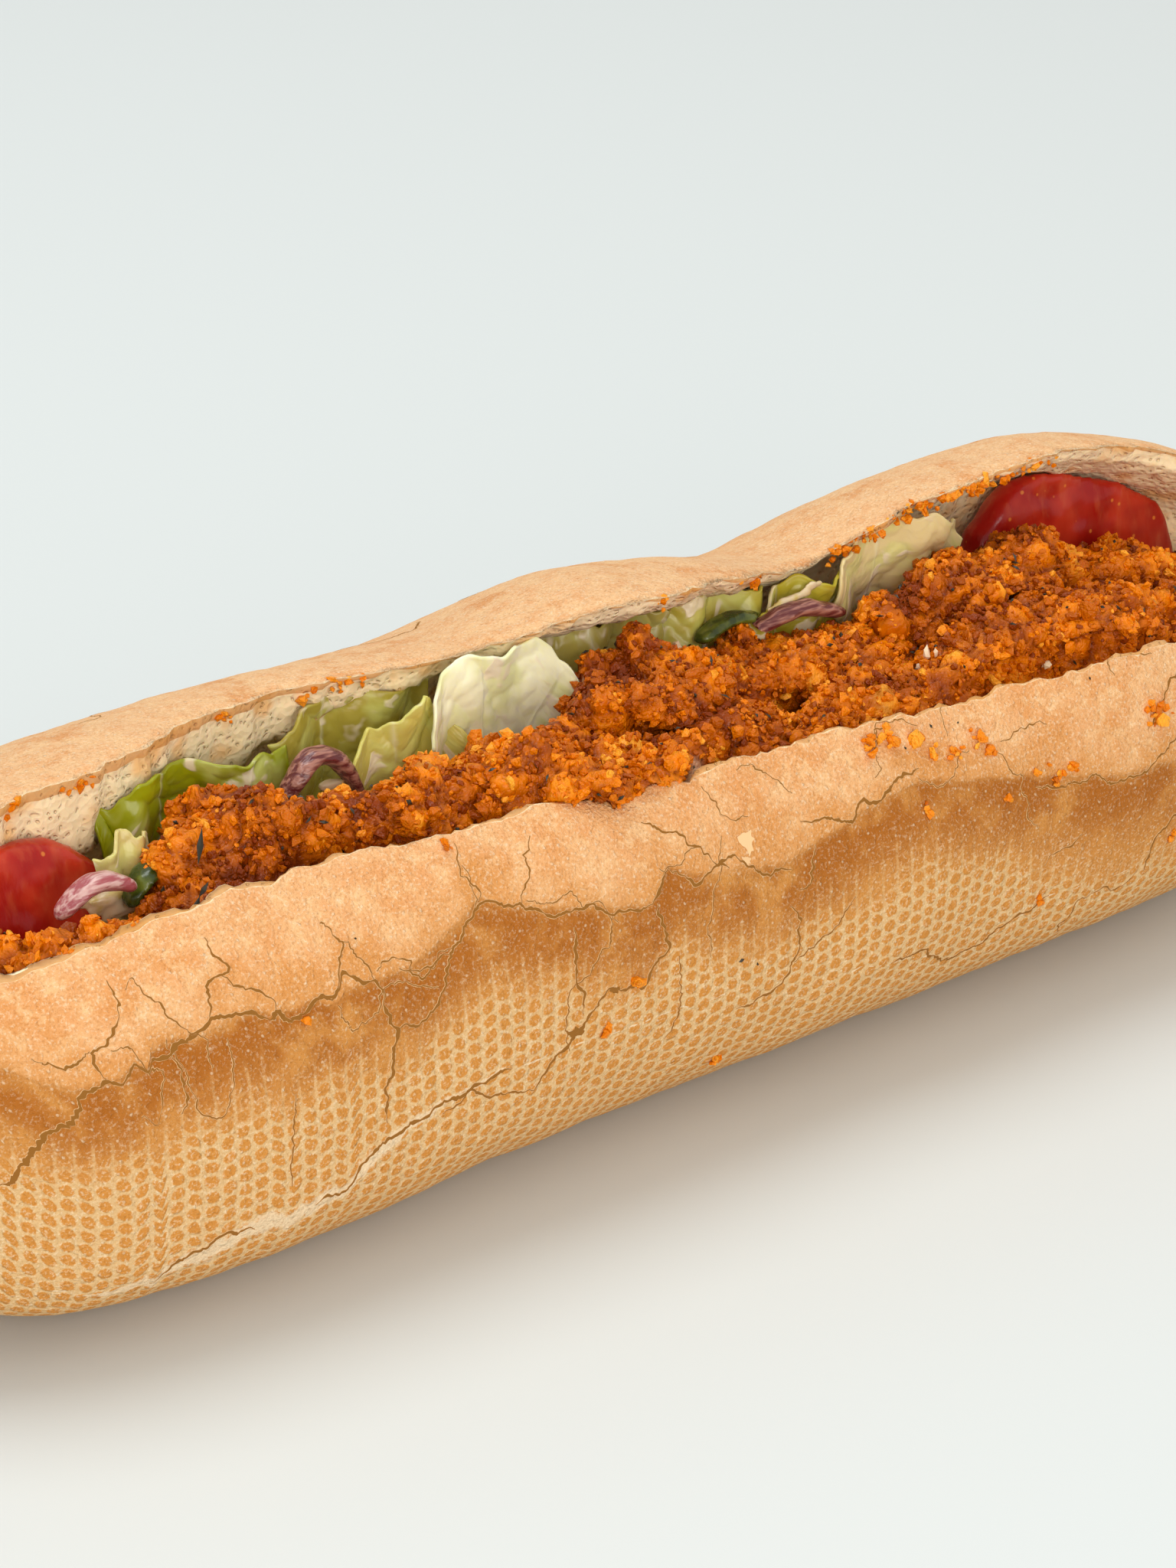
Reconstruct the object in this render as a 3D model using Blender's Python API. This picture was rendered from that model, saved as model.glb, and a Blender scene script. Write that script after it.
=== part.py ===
"""A chicken fillet roll: a split baguette filled with breaded chicken, lettuce, tomato, onion and pepper.

Frame: +X along the roll, -Y towards the open side, +Z up; the origin is on the table under the middle.
"""

import math

import bmesh
import bpy
import numpy as np
from mathutils import Euler, Vector, noise

# Driving sizes of the bread, in metres
ROLL_LENGTH = 0.285
ROLL_WIDTH = 0.080
ROLL_HEIGHT = 0.066
FLAT_SINK = 0.0008          # how far the round underside is pressed flat
FLOOR_HEIGHT = 0.034        # top of the crumb under the filling
WALL = 0.008                # crumb and crust beside the filling
LID_THICKNESS = 0.0055
LIP_THICKNESS = 0.0022
NEAR_LIP = 0.0014            # crumb edge that shows at the near lip
THICK_LIP = 0.0075          # extra crumb shown at the lid's lip near one end
THICK_LIP_AT = -0.085
THICK_LIP_REACH = 0.040
POCKET_BACK = 0.018         # how far back the split reaches
END_ROUNDING = 6.5          # exponent of the taper: larger is blunter
MOUTH_START = -0.134
MOUTH_END = 0.131
UPPER_ROUNDNESS = 2.1       # superellipse exponents of the section
LOWER_ROUNDNESS = 2.65
SQUARER_BEFORE = -0.045     # before this the underside grows squarer, by the change per metre
SQUARER_CHANGE = 18
SQUARER_REACH = 0.065

# Along the roll: place, near lip angle, lid lip angle and how far the lid stands above a plain loaf
# (angles in degrees from the back, over the top, to the front)
LIPS = (
    (-0.142, 142, 92, 0.0),
    (-0.108, 136, 90, 0.0),
    (-0.082, 133, 89, 0.0),
    (-0.058, 134, 81, -0.001),
    (-0.027, 138, 88, -0.001),
    (-0.012, 141, 94, 0.0015),
    (0.000, 141, 98, 0.003),
    (0.014, 142, 95, 0.001),
    (0.037, 143, 86, -0.0045),
    (0.058, 146, 89, 0.002),
    (0.085, 148, 90, 0.004),
    (0.110, 145, 88, 0.001),
    (0.142, 142, 90, -0.005),
)

# Breaded chicken
BLUNTNESS = 0.72            # exponent of the ellipsoid's radius: smaller is blunter
COARSE_LUMPS = 0.0060
FINE_LUMPS = 0.0030

# Fitting
CLEARANCE = 0.0004          # gap cut between touching pieces
WELD = 0.000002             # corners closer than this are one
SCRAP = 24                  # bodies with no more faces than this are offcuts

# Base colour and roughness of each kind of piece
COLOURS = {
    "bread_roll": ((0.80, 0.42, 0.17), 0.85),
    "chicken": ((0.55, 0.14, 0.02), 0.75),
    "tomato": ((0.40, 0.03, 0.02), 0.30),
    "lettuce": ((0.45, 0.42, 0.16), 0.45),
    "onion": ((0.22, 0.07, 0.08), 0.35),
    "pepper": ((0.06, 0.10, 0.02), 0.30),
}

# Loft resolution
STATIONS = 46
OUTER_COLUMNS = 30
INNER_COLUMNS = 13


def smooth_along(x, column):
    """Catmull-Rom curve through one column of LIPS."""
    places = [row[0] for row in LIPS]
    values = [row[column] for row in LIPS]
    i = int(np.clip(np.searchsorted(places, x) - 1, 0, len(places) - 2))
    before = values[max(i - 1, 0)]
    after = values[min(i + 2, len(values) - 1)]
    t = min(max((x - places[i]) / (places[i + 1] - places[i]), 0.0), 1.0)
    a, b = values[i], values[i + 1]
    return 0.5 * (
        2 * a
        + (b - before) * t
        + (2 * before - 5 * a + 4 * b - after) * t**2
        + (3 * a - before - 3 * b + after) * t**3
    )


def power(value, exponent):
    return math.copysign(abs(value) ** exponent, value)


def end_taper(x):
    """Size of the section at x, 1 in the middle and 0 at the tips."""
    s = min(abs(x) / (ROLL_LENGTH / 2), 1.0)
    return math.sqrt(max(1.0 - s**END_ROUNDING, 0.0))


def mouth_opening(x):
    """How far open the mouth is at x: 0 at and beyond its corners, 1 between."""
    corner = MOUTH_START if x < 0 else MOUTH_END
    s = min(abs(x / corner), 1.0)
    return math.sqrt(max(1.0 - s**9, 0.0))


def crust_point(x, degrees):
    """Point on the loaf's outside, at x and at an angle round the section."""
    taper = end_taper(x)
    angle = math.radians(degrees)
    c, s = math.cos(angle), math.sin(angle)
    lower = LOWER_ROUNDNESS + SQUARER_CHANGE * min(max(SQUARER_BEFORE - x, 0.0), SQUARER_REACH)
    exponent = 2 / (UPPER_ROUNDNESS if s > 0 else lower)
    half_height = ROLL_HEIGHT / 2 + FLAT_SINK / 2
    lift = smooth_along(x, 3) * max(s, 0.0) ** 2 * (1 if c > -0.3 else 0.4)
    y = ROLL_WIDTH / 2 * taper * power(c, exponent)
    z = half_height * (0.92 + 0.08 * taper) + half_height * taper * power(s, exponent) + lift * taper - FLAT_SINK
    waver = noise.noise(Vector((x * 38, math.cos(angle) * 1.3, math.sin(angle) * 1.3)))
    y += 0.0011 * waver * c * taper
    z += 0.0011 * waver * max(s, 0.0) * taper
    return Vector((x, y, max(z, 0.0)))


def lips(x):
    """Angles of the near lip and the lid's lip at x; equal where the mouth is shut."""
    near, lid = smooth_along(x, 1), smooth_along(x, 2)
    middle, half = (near + lid) / 2, (near - lid) / 2
    half *= mouth_opening(x)
    return middle + half, middle - half


def curve_through(points, count):
    """Points evenly spaced by parameter on a Catmull-Rom curve through points."""
    found = []
    for k in range(count):
        t = k / (count - 1) * (len(points) - 1)
        i = min(int(t), len(points) - 2)
        u = t - i
        p0, p1 = points[max(i - 1, 0)], points[i]
        p2, p3 = points[i + 1], points[min(i + 2, len(points) - 1)]
        found.append(
            0.5
            * (2 * p1 + (p2 - p0) * u + (2 * p0 - 5 * p1 + 4 * p2 - p3) * u * u + (3 * p1 - p0 - 3 * p2 + p3) * u**3)
        )
    return found


def pocket_path(x, near, lid):
    """The cut faces at x, from the near lip down over the floor and up under the lid."""
    half = ROLL_WIDTH / 2
    lip = LIP_THICKNESS + THICK_LIP * math.exp(-(((x - THICK_LIP_AT) / THICK_LIP_REACH) ** 2))
    full = [
        near + Vector((0, NEAR_LIP, 0.0003)),
        Vector((x, -half + WALL + 0.002, near.z - 0.008)),
        Vector((x, -half + WALL + 0.006, FLOOR_HEIGHT + 0.002)),
        Vector((x, -0.008, FLOOR_HEIGHT)),
        Vector((x, POCKET_BACK - 0.006, FLOOR_HEIGHT + 0.001)),
        Vector((x, POCKET_BACK, FLOOR_HEIGHT + 0.009)),
        Vector((x, POCKET_BACK - 0.002, lid.z - LID_THICKNESS - 0.005)),
        Vector((x, lid.y + 0.008, lid.z - max(LID_THICKNESS, lip))),
        lid + Vector((0, 0.002, -lip)),
    ]
    shut = (near + lid) / 2
    depth = mouth_opening(x)
    return curve_through([shut.lerp(p, depth) for p in full], INNER_COLUMNS)


def station_places():
    """Places of the sections, closer together towards the tips."""
    for k in range(STATIONS):
        t = -1 + 2 * k / (STATIONS - 1)
        yield ROLL_LENGTH / 2 * math.sin(math.pi / 2 * (0.45 * t + 0.55 * t * abs(t) ** 0.5))


def bread_roll():
    """The baguette, one loft of sections whose cut faces shrink to the corners of the mouth."""
    mesh = bpy.data.meshes.new("bread_roll")
    bm = bmesh.new()
    rings = []
    for x in station_places():
        near, lid = lips(x)
        ring = [crust_point(x, near + (lid + 360 - near) * k / (OUTER_COLUMNS - 1)) for k in range(OUTER_COLUMNS)]
        ring += reversed(pocket_path(x, ring[0], ring[-1]))
        rings.append([bm.verts.new(p) for p in ring])
    for low, high in zip(rings, rings[1:]):
        for k in range(len(low)):
            n = (k + 1) % len(low)
            bm.faces.new((low[k], high[k], high[n], low[n]))
    bmesh.ops.remove_doubles(bm, verts=bm.verts, dist=1e-5)
    bmesh.ops.triangulate(bm, faces=bm.faces)
    bmesh.ops.recalc_face_normals(bm, faces=bm.faces)
    bm.to_mesh(mesh)
    bm.free()
    obj = bpy.data.objects.new("bread_roll", mesh)
    bpy.context.scene.collection.objects.link(obj)
    return obj


# Filling

def mm(x, y, z):
    return Vector((x, y, z)) / 1000


def new_object(name, bm):
    """Mesh object from bm, with its faces turned outward and split into triangles."""
    bmesh.ops.triangulate(bm, faces=bm.faces)
    bmesh.ops.recalc_face_normals(bm, faces=bm.faces)
    mesh = bpy.data.meshes.new(name)
    bm.to_mesh(mesh)
    bm.free()
    obj = bpy.data.objects.new(name, mesh)
    bpy.context.scene.collection.objects.link(obj)
    return obj


def lumps(point, seed, coarse, fine):
    """Offset of a breaded surface at point: coarse lumps and smaller ones on them."""
    shift = Vector((seed * 3.7, seed * 1.3, -seed * 2.1))
    big = noise.noise(point * 95 + shift)
    small = noise.noise(point * 230 - shift)
    return coarse * big + fine * small


def fillet(name, spine, half_width, half_height, seed, segments=20, rings=13):
    """A breaded chicken piece: a blunt ellipsoid bent along spine, with lumps."""
    bm = bmesh.new()
    bmesh.ops.create_uvsphere(bm, u_segments=segments, v_segments=rings, radius=1.0)
    for vert in bm.verts:
        along, side, up = vert.co.z, vert.co.x, vert.co.y
        radius = math.hypot(side, up)
        if radius > 1e-6:
            blunt = radius**BLUNTNESS / radius
            side, up = side * blunt, up * blunt
        t = (along + 1) / 2 * (len(spine) - 1)
        i = min(int(t), len(spine) - 2)
        p0, p1 = spine[max(i - 1, 0)], spine[i]
        p2, p3 = spine[i + 1], spine[min(i + 2, len(spine) - 1)]
        u = t - i
        centre = 0.5 * (
            2 * p1 + (p2 - p0) * u + (2 * p0 - 5 * p1 + 4 * p2 - p3) * u * u + (3 * p1 - p0 - 3 * p2 + p3) * u**3
        )
        across = (spine[-1] - spine[0]).cross(Vector((0, 0, 1))).normalized()
        offset = across * (side * half_width) + Vector((0, 0, up * half_height))
        point = centre + offset
        outward = across * side + Vector((0, 0, up)) + (spine[-1] - spine[0]).normalized() * along
        vert.co = point + outward.normalized() * lumps(point, seed, COARSE_LUMPS, FINE_LUMPS) * radius
    return new_object(name, bm)


def sheet(name, rows, thickness):
    """Thin solid over a grid of points, with both faces split alike."""
    bm = bmesh.new()
    height, width = len(rows), len(rows[0])
    sides = []
    for sign in (0.5, -0.5):
        grid = []
        for j in range(height):
            line = []
            for i in range(width):
                du = rows[j][min(i + 1, width - 1)] - rows[j][max(i - 1, 0)]
                dv = rows[min(j + 1, height - 1)][i] - rows[max(j - 1, 0)][i]
                line.append(bm.verts.new(rows[j][i] + du.cross(dv).normalized() * thickness * sign))
            grid.append(line)
        sides.append(grid)
    front, back = sides
    for j in range(height - 1):
        for i in range(width - 1):
            for grid in sides:
                bm.faces.new((grid[j][i], grid[j][i + 1], grid[j + 1][i + 1]))
                bm.faces.new((grid[j][i], grid[j + 1][i + 1], grid[j + 1][i]))
    rim = [(0, i) for i in range(width)] + [(j, width - 1) for j in range(1, height)]
    rim += [(height - 1, i) for i in range(width - 2, -1, -1)] + [(j, 0) for j in range(height - 2, 0, -1)]
    for (j0, i0), (j1, i1) in zip(rim, rim[1:] + rim[:1]):
        bm.faces.new((front[j0][i0], front[j1][i1], back[j1][i1]))
        bm.faces.new((front[j0][i0], back[j1][i1], back[j0][i0]))
    return new_object(name, bm)


def leaf(name, rim, foot, ruffle, seed, across=10, down=5, thickness=0.0009):
    """A lettuce leaf: hangs from the points of rim to a foot line, with ruffles across it."""
    top = curve_through(rim, across)
    bottom = curve_through(foot, across)
    rows = []
    for j in range(down):
        v = j / (down - 1)
        row = []
        for i in range(across):
            point = top[i].lerp(bottom[i], v)
            wave = math.sin(i * 1.9 + seed + v * 2.3) * ruffle * (1 - 0.6 * v)
            wave += noise.noise(point * 120 + Vector((seed, seed, 0))) * ruffle
            bulge = math.sin(math.pi * v) * ruffle * 0.8
            row.append(point + Vector((0, wave - bulge, 0.25 * wave)))
        rows.append(row)
    return sheet(name, rows, thickness)


def strip(name, path, width, thickness, turn=0.0, count=9):
    """A shred of onion or pepper: a band with a lens section along path."""
    bm = bmesh.new()
    points = curve_through(path, count)
    rings = []
    for k, point in enumerate(points):
        ahead = (points[min(k + 1, count - 1)] - points[max(k - 1, 0)]).normalized()
        side = ahead.cross(Vector((0, math.sin(turn), math.cos(turn)))).normalized()
        up = side.cross(ahead)
        s = -1 + 2 * k / (count - 1)
        taper = 0.35 + 0.65 * math.sqrt(max(1 - s**4, 0.0))
        ring = []
        for n in range(6):
            angle = math.tau * n / 6
            offset = side * math.cos(angle) * width / 2 + up * math.sin(angle) * thickness / 2
            ring.append(bm.verts.new(point + offset * taper))
        rings.append(ring)
    for low, high in zip(rings, rings[1:]):
        for n in range(6):
            m = (n + 1) % 6
            bm.faces.new((low[n], low[m], high[m], high[n]))
    bm.faces.new(reversed(rings[0]))
    bm.faces.new(rings[-1])
    return new_object(name, bm)


def tomato_half(name, centre, radius, thickness, lean, twist, segments=14):
    """A half-moon slice of tomato standing on its cut edge and leaning back by lean."""
    bm = bmesh.new()
    bevel = thickness * 0.22
    outline = [(radius, -0.15 * radius)]
    outline += [
        (radius * math.cos(math.pi * k / segments), radius * math.sin(math.pi * k / segments))
        for k in range(segments + 1)
    ]
    outline += [(-radius, -0.15 * radius)]
    rings = []
    for inset, depth in ((bevel, -0.5), (0.0, -0.22), (0.0, 0.22), (bevel, 0.5)):
        ring = []
        for a, b in outline:
            scale = 1 - inset / radius
            local = Vector((a * scale, depth * thickness, b * scale))
            local.rotate(Euler((-lean, 0, twist)))
            ring.append(bm.verts.new(centre + local))
        rings.append(ring)
    count = len(outline)
    for low, high in zip(rings, rings[1:]):
        for n in range(count):
            m = (n + 1) % count
            bm.faces.new((low[n], low[m], high[m], high[n]))
    bm.faces.new(reversed(rings[0]))
    bm.faces.new(rings[-1])
    return new_object(name, bm)


def chicken_pieces():
    return [
        fillet("chicken_1", [mm(-86, -15, 46.5), mm(-74, -13, 52.5), mm(-60, -14, 50)], 0.0096, 0.0116, 1),
        fillet("chicken_2", [mm(-126, -20, 44), mm(-100, -22, 48), mm(-72, -22, 49.5)], 0.0070, 0.0060, 2),
        fillet("chicken_3", [mm(-64, -17, 50.5), mm(-45, -16, 51.5), mm(-24, -16, 52.5)], 0.0085, 0.0080, 3),
        fillet("chicken_4", [mm(-17, -9, 56), mm(-5, -11, 54.5), mm(16, -20, 47)], 0.0098, 0.0080, 4),
        fillet("chicken_5", [mm(-43, -22.5, 54), mm(-24, -23, 54.5), mm(-4, -22, 51.5)], 0.0070, 0.0056, 5),
        fillet("chicken_6", [mm(0, -3, 50), mm(26, -4, 49), mm(54, -7, 46)], 0.0085, 0.0083, 6),
        fillet("chicken_7", [mm(6, -23, 47.5), mm(20, -22, 48), mm(36, -22, 47)], 0.0080, 0.0068, 7),
        fillet("chicken_8", [mm(30, -19, 48), mm(62, -19, 49), mm(90, -20, 44), mm(118, -19, 42)], 0.0090, 0.0076, 8),
        fillet("chicken_9", [mm(44, -5, 50), mm(62, -4, 50), mm(88, -4, 46), mm(120, -5, 41)], 0.0095, 0.0088, 9),
    ]


def tomatoes():
    return [
        tomato_half("tomato_1", mm(97, 9, 40.0), 0.0235, 0.0060, math.radians(8), 0.0),
        tomato_half("tomato_2", mm(-101, -5, 45), 0.0150, 0.0060, math.radians(20), math.radians(6)),
        tomato_half("tomato_3", mm(-121, -14, 45), 0.0105, 0.0055, math.radians(28), math.radians(-14)),
    ]


def leaves():
    return [
        leaf("lettuce_1", [mm(-86, 0, 56), mm(-80, 1, 62), mm(-68, 2, 59.5), mm(-54, 3, 58)],
             [mm(-84, 4, 42), mm(-56, 5, 42)], 0.0012, 1),
        leaf("lettuce_2", [mm(-92, -8, 57), mm(-87, -7, 59), mm(-82, -6, 56)],
             [mm(-90, -9, 43), mm(-83, -8, 43)], 0.0010, 2),
        leaf("lettuce_3", [mm(-51, 5, 57), mm(-42, 6, 60), mm(-33, 6, 59), mm(-27, 6, 58)],
             [mm(-48, 8, 42), mm(-30, 8, 42)], 0.0012, 3),
        leaf("lettuce_4", [mm(-50, -2, 54), mm(-43, -2, 58), mm(-35, -2, 62), mm(-29, -2, 56)],
             [mm(-46, 0, 43), mm(-30, 0, 43)], 0.0010, 4),
        leaf("lettuce_5", [mm(-36, -3, 57), mm(-32, -3, 64), mm(-24, -3, 66), mm(-13, -3, 63.5), mm(-9, -3, 56)],
             [mm(-31, 0, 43), mm(-12, 0, 43)], 0.0011, 5),
        leaf("lettuce_6", [mm(-13, 4, 61), mm(-3, 4, 63), mm(6, 4, 63), mm(13, 4, 61)],
             [mm(-10, 6, 42), mm(10, 6, 42)], 0.0012, 6),
        leaf("lettuce_7", [mm(10, 6, 60), mm(18, 5, 62), mm(26, 5, 61), mm(33, 6, 58)],
             [mm(11, 8, 42), mm(30, 8, 42)], 0.0012, 7),
        leaf("lettuce_8", [mm(23, 2, 56), mm(30, 3, 60), mm(39, 3, 62), mm(47, 3, 58)],
             [mm(28, 5, 45), mm(44, 6, 45)], 0.0012, 8),
        leaf("lettuce_9", [mm(45, 2, 53), mm(48, 2, 61), mm(56, 2, 65), mm(66, 3, 63), mm(71, 4, 57)],
             [mm(52, 9, 44), mm(68, 10, 44)], 0.0010, 9),
    ]


def onions_and_peppers():
    return [
        strip("onion_1", [mm(-60, -4, 54), mm(-55, -3, 59), mm(-50, -3, 57), mm(-47, -4, 51)], 0.0050, 0.0028),
        strip("onion_2", [mm(22, -1, 55), mm(33, 0, 57), mm(43, 0, 54)], 0.0040, 0.0026),
        strip("onion_3", [mm(-101, -13, 53), mm(-95, -13, 56.5), mm(-89, -13, 54)], 0.0045, 0.0026),
        strip("pepper_1", [mm(-90, -12, 51), mm(-87.5, -12, 54.5), mm(-84.5, -11, 55)], 0.0050, 0.0024),
        strip("pepper_2", [mm(15, 1, 56), mm(22, 1, 58), mm(29, 1, 56)], 0.0040, 0.0024),
    ]


# Fitting the pieces to one another

def swollen_copy(obj):
    """A copy grown by CLEARANCE along its normals, to cut a neighbour with."""
    cutter = obj.copy()
    cutter.data = obj.data.copy()
    bm = bmesh.new()
    bm.from_mesh(cutter.data)
    moves = [(vert, vert.co + vert.normal * CLEARANCE * min(vert.calc_shell_factor(), 1.5)) for vert in bm.verts]
    for vert, place in moves:
        vert.co = place
    bm.to_mesh(cutter.data)
    bm.free()
    bpy.context.scene.collection.objects.link(cutter)
    return cutter


def boxes_meet(a, b):
    low_a, high_a = bounds(a)
    low_b, high_b = bounds(b)
    return all(low_a[k] < high_b[k] + CLEARANCE * 3 and low_b[k] < high_a[k] + CLEARANCE * 3 for k in range(3))


def bounds(obj):
    points = np.array([vert.co for vert in obj.data.vertices])
    return points.min(axis=0), points.max(axis=0)


def cut_clear(obj, others):
    """Cut obj back from the pieces laid down before it."""
    for other in others:
        if not boxes_meet(obj, other):
            continue
        cutter = swollen_copy(other)
        cut = obj.modifiers.new("clearance", "BOOLEAN")
        cut.operation = "DIFFERENCE"
        cut.solver = "EXACT"
        cut.object = cutter
        bpy.context.view_layer.update()
        shape = obj.evaluated_get(bpy.context.evaluated_depsgraph_get())
        mesh = bpy.data.meshes.new_from_object(shape)
        obj.modifiers.remove(cut)
        obj.data = mesh
        bpy.data.objects.remove(cutter)
    keep_topmost(obj)


def keep_topmost(obj):
    """Delete the offcuts: only the body that shows highest above the lip stays."""
    bm = bmesh.new()
    bm.from_mesh(obj.data)
    bmesh.ops.remove_doubles(bm, verts=bm.verts, dist=WELD)
    bmesh.ops.dissolve_degenerate(bm, edges=bm.edges, dist=WELD)
    bodies = []
    left = set(bm.faces)
    while left:
        front = [left.pop()]
        body = list(front)
        while front:
            for edge in front.pop().edges:
                for other in edge.link_faces:
                    if other in left:
                        left.remove(other)
                        front.append(other)
                        body.append(other)
        bodies.append(body)
    bodies.sort(key=lambda body: max(face.calc_center_median().z for face in body) if len(body) > SCRAP else 0.0)
    for body in bodies[:-1]:
        bmesh.ops.delete(bm, geom=body, context="FACES")
    bmesh.ops.triangulate(bm, faces=bm.faces)
    bmesh.ops.recalc_face_normals(bm, faces=bm.faces)
    bm.to_mesh(obj.data)
    bm.free()


# Materials

def material(name, colour, roughness):
    made = bpy.data.materials.new(name)
    made.use_nodes = True
    shader = made.node_tree.nodes["Principled BSDF"]
    shader.inputs["Base Color"].default_value = (*colour, 1.0)
    shader.inputs["Roughness"].default_value = roughness
    return made


def kind_of(obj):
    """Name of a node without its number, which is also the name of its material."""
    return obj.name.rstrip("0123456789").rstrip("_")


def paint(objects):
    made = {name: material(name, colour, roughness) for name, (colour, roughness) in COLOURS.items()}
    for obj in objects:
        obj.data.materials.clear()
        obj.data.materials.append(made[kind_of(obj)])


def main():
    for obj in list(bpy.data.objects):
        bpy.data.objects.remove(obj)
    placed = [bread_roll()]
    for piece in chicken_pieces() + tomatoes() + onions_and_peppers() + leaves():
        cut_clear(piece, placed)
        placed.append(piece)
    paint(placed)
    collection = bpy.data.collections.new("chicken_fillet_roll")
    bpy.context.scene.collection.children.link(collection)
    for obj in placed:
        bpy.context.scene.collection.objects.unlink(obj)
        collection.objects.link(obj)


main()
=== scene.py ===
"""Looks of the chicken fillet roll: crust, crumb coating, salad, sauce, light and camera.

Lengths in the formulas of the bread are metres, as in the frame; sizes of grain and pattern are millimetres.
"""

import math

import bmesh
import bpy
import numpy as np
from mathutils import Euler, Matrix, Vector, noise
from mathutils.bvhtree import BVHTree

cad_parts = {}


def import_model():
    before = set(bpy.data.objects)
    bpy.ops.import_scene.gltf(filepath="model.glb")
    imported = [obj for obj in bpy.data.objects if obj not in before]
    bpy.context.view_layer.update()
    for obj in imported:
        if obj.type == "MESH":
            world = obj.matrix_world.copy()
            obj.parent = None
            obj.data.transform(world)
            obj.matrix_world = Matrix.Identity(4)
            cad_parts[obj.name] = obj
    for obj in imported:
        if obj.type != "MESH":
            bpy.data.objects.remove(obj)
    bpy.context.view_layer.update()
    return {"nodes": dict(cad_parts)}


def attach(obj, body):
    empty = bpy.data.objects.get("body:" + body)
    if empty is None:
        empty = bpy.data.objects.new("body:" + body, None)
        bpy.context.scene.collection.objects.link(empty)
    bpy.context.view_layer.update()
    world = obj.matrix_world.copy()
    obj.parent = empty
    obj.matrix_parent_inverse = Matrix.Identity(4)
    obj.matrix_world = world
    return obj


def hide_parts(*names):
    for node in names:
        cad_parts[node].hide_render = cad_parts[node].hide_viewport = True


MM = 0.001
RNG = np.random.default_rng(11)

# Camera
CAMERA_AT = (-0.3416, -0.4306, 0.2945)
CAMERA_AZIMUTH = -38.0
CAMERA_ELEVATION = 25.0
LENS = 96.68
SENSOR = 36.0

# Bread, the same loft as its solid
ROLL_LENGTH = 0.285
ROLL_WIDTH = 0.080
ROLL_HEIGHT = 0.066
FLAT_SINK = 0.0008
FLOOR_HEIGHT = 0.034
WALL = 0.008
LID_THICKNESS = 0.0055
LIP_THICKNESS = 0.0022
NEAR_LIP = 0.0008
TORN_BEFORE = -0.078            # the near lip's crumb shows widest to the left of this
THICK_LIP = 0.0075
THICK_LIP_AT = -0.085
THICK_LIP_REACH = 0.040
# Where the lid's torn crumb hangs lower still: place along the loaf, reach and depth
HANGING = ((-0.062, 0.014, 0.0028), (-0.090, 0.009, 0.0028))
POCKET_BACK = 0.018
END_ROUNDING = 6.5
MOUTH_START = -0.134
MOUTH_END = 0.131
UPPER_ROUNDNESS = 2.1
LOWER_ROUNDNESS = 2.65
SQUARER_BEFORE = -0.045
SQUARER_CHANGE = 18
SQUARER_REACH = 0.065
LIPS = (
    (-0.142, 142, 92, 0.0),
    (-0.108, 136, 90, 0.0),
    (-0.082, 133, 89, 0.0),
    (-0.058, 134, 81, -0.001),
    (-0.027, 138, 88, -0.001),
    (-0.012, 141, 94, 0.0015),
    (0.000, 141, 98, 0.003),
    (0.014, 142, 95, 0.001),
    (0.037, 143, 86, -0.0045),
    (0.058, 146, 89, 0.002),
    (0.085, 148, 90, 0.004),
    (0.110, 145, 88, 0.001),
    (0.142, 142, 90, -0.005),
)
STATIONS = 330
END_CROWDING = 0.62          # how much closer the stations stand at the tips: 0 is even
FRONT_COLUMNS = 130
BACK_COLUMNS = 64
INNER_COLUMNS = 54
FACE_COLUMNS = 7             # across the torn face of the lid
RIM_COLUMNS = 3              # of the crumb just inside the near lip, browner than the rest
FRONT_SHARE = 0.40          # share of the outside's angle that the front columns cover

# Chicken
COAT_VOXEL = 0.0008
CRUMB_COUNT = 9000
BIG_CRUMB_COUNT = 2600
HERB_COUNT = 150


# Formulas of the bread

def smooth_along(x, column):
    """Catmull-Rom curve through one column of LIPS."""
    places = [row[0] for row in LIPS]
    values = [row[column] for row in LIPS]
    i = int(np.clip(np.searchsorted(places, x) - 1, 0, len(places) - 2))
    before = values[max(i - 1, 0)]
    after = values[min(i + 2, len(values) - 1)]
    t = min(max((x - places[i]) / (places[i + 1] - places[i]), 0.0), 1.0)
    a, b = values[i], values[i + 1]
    return 0.5 * (
        2 * a
        + (b - before) * t
        + (2 * before - 5 * a + 4 * b - after) * t**2
        + (3 * a - before - 3 * b + after) * t**3
    )


def power(value, exponent):
    return math.copysign(abs(value) ** exponent, value)


def end_taper(x):
    s = min(abs(x) / (ROLL_LENGTH / 2), 1.0)
    return math.sqrt(max(1.0 - s**END_ROUNDING, 0.0))


def mouth_opening(x):
    corner = MOUTH_START if x < 0 else MOUTH_END
    s = min(abs(x / corner), 1.0)
    return math.sqrt(max(1.0 - s**9, 0.0))


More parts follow.
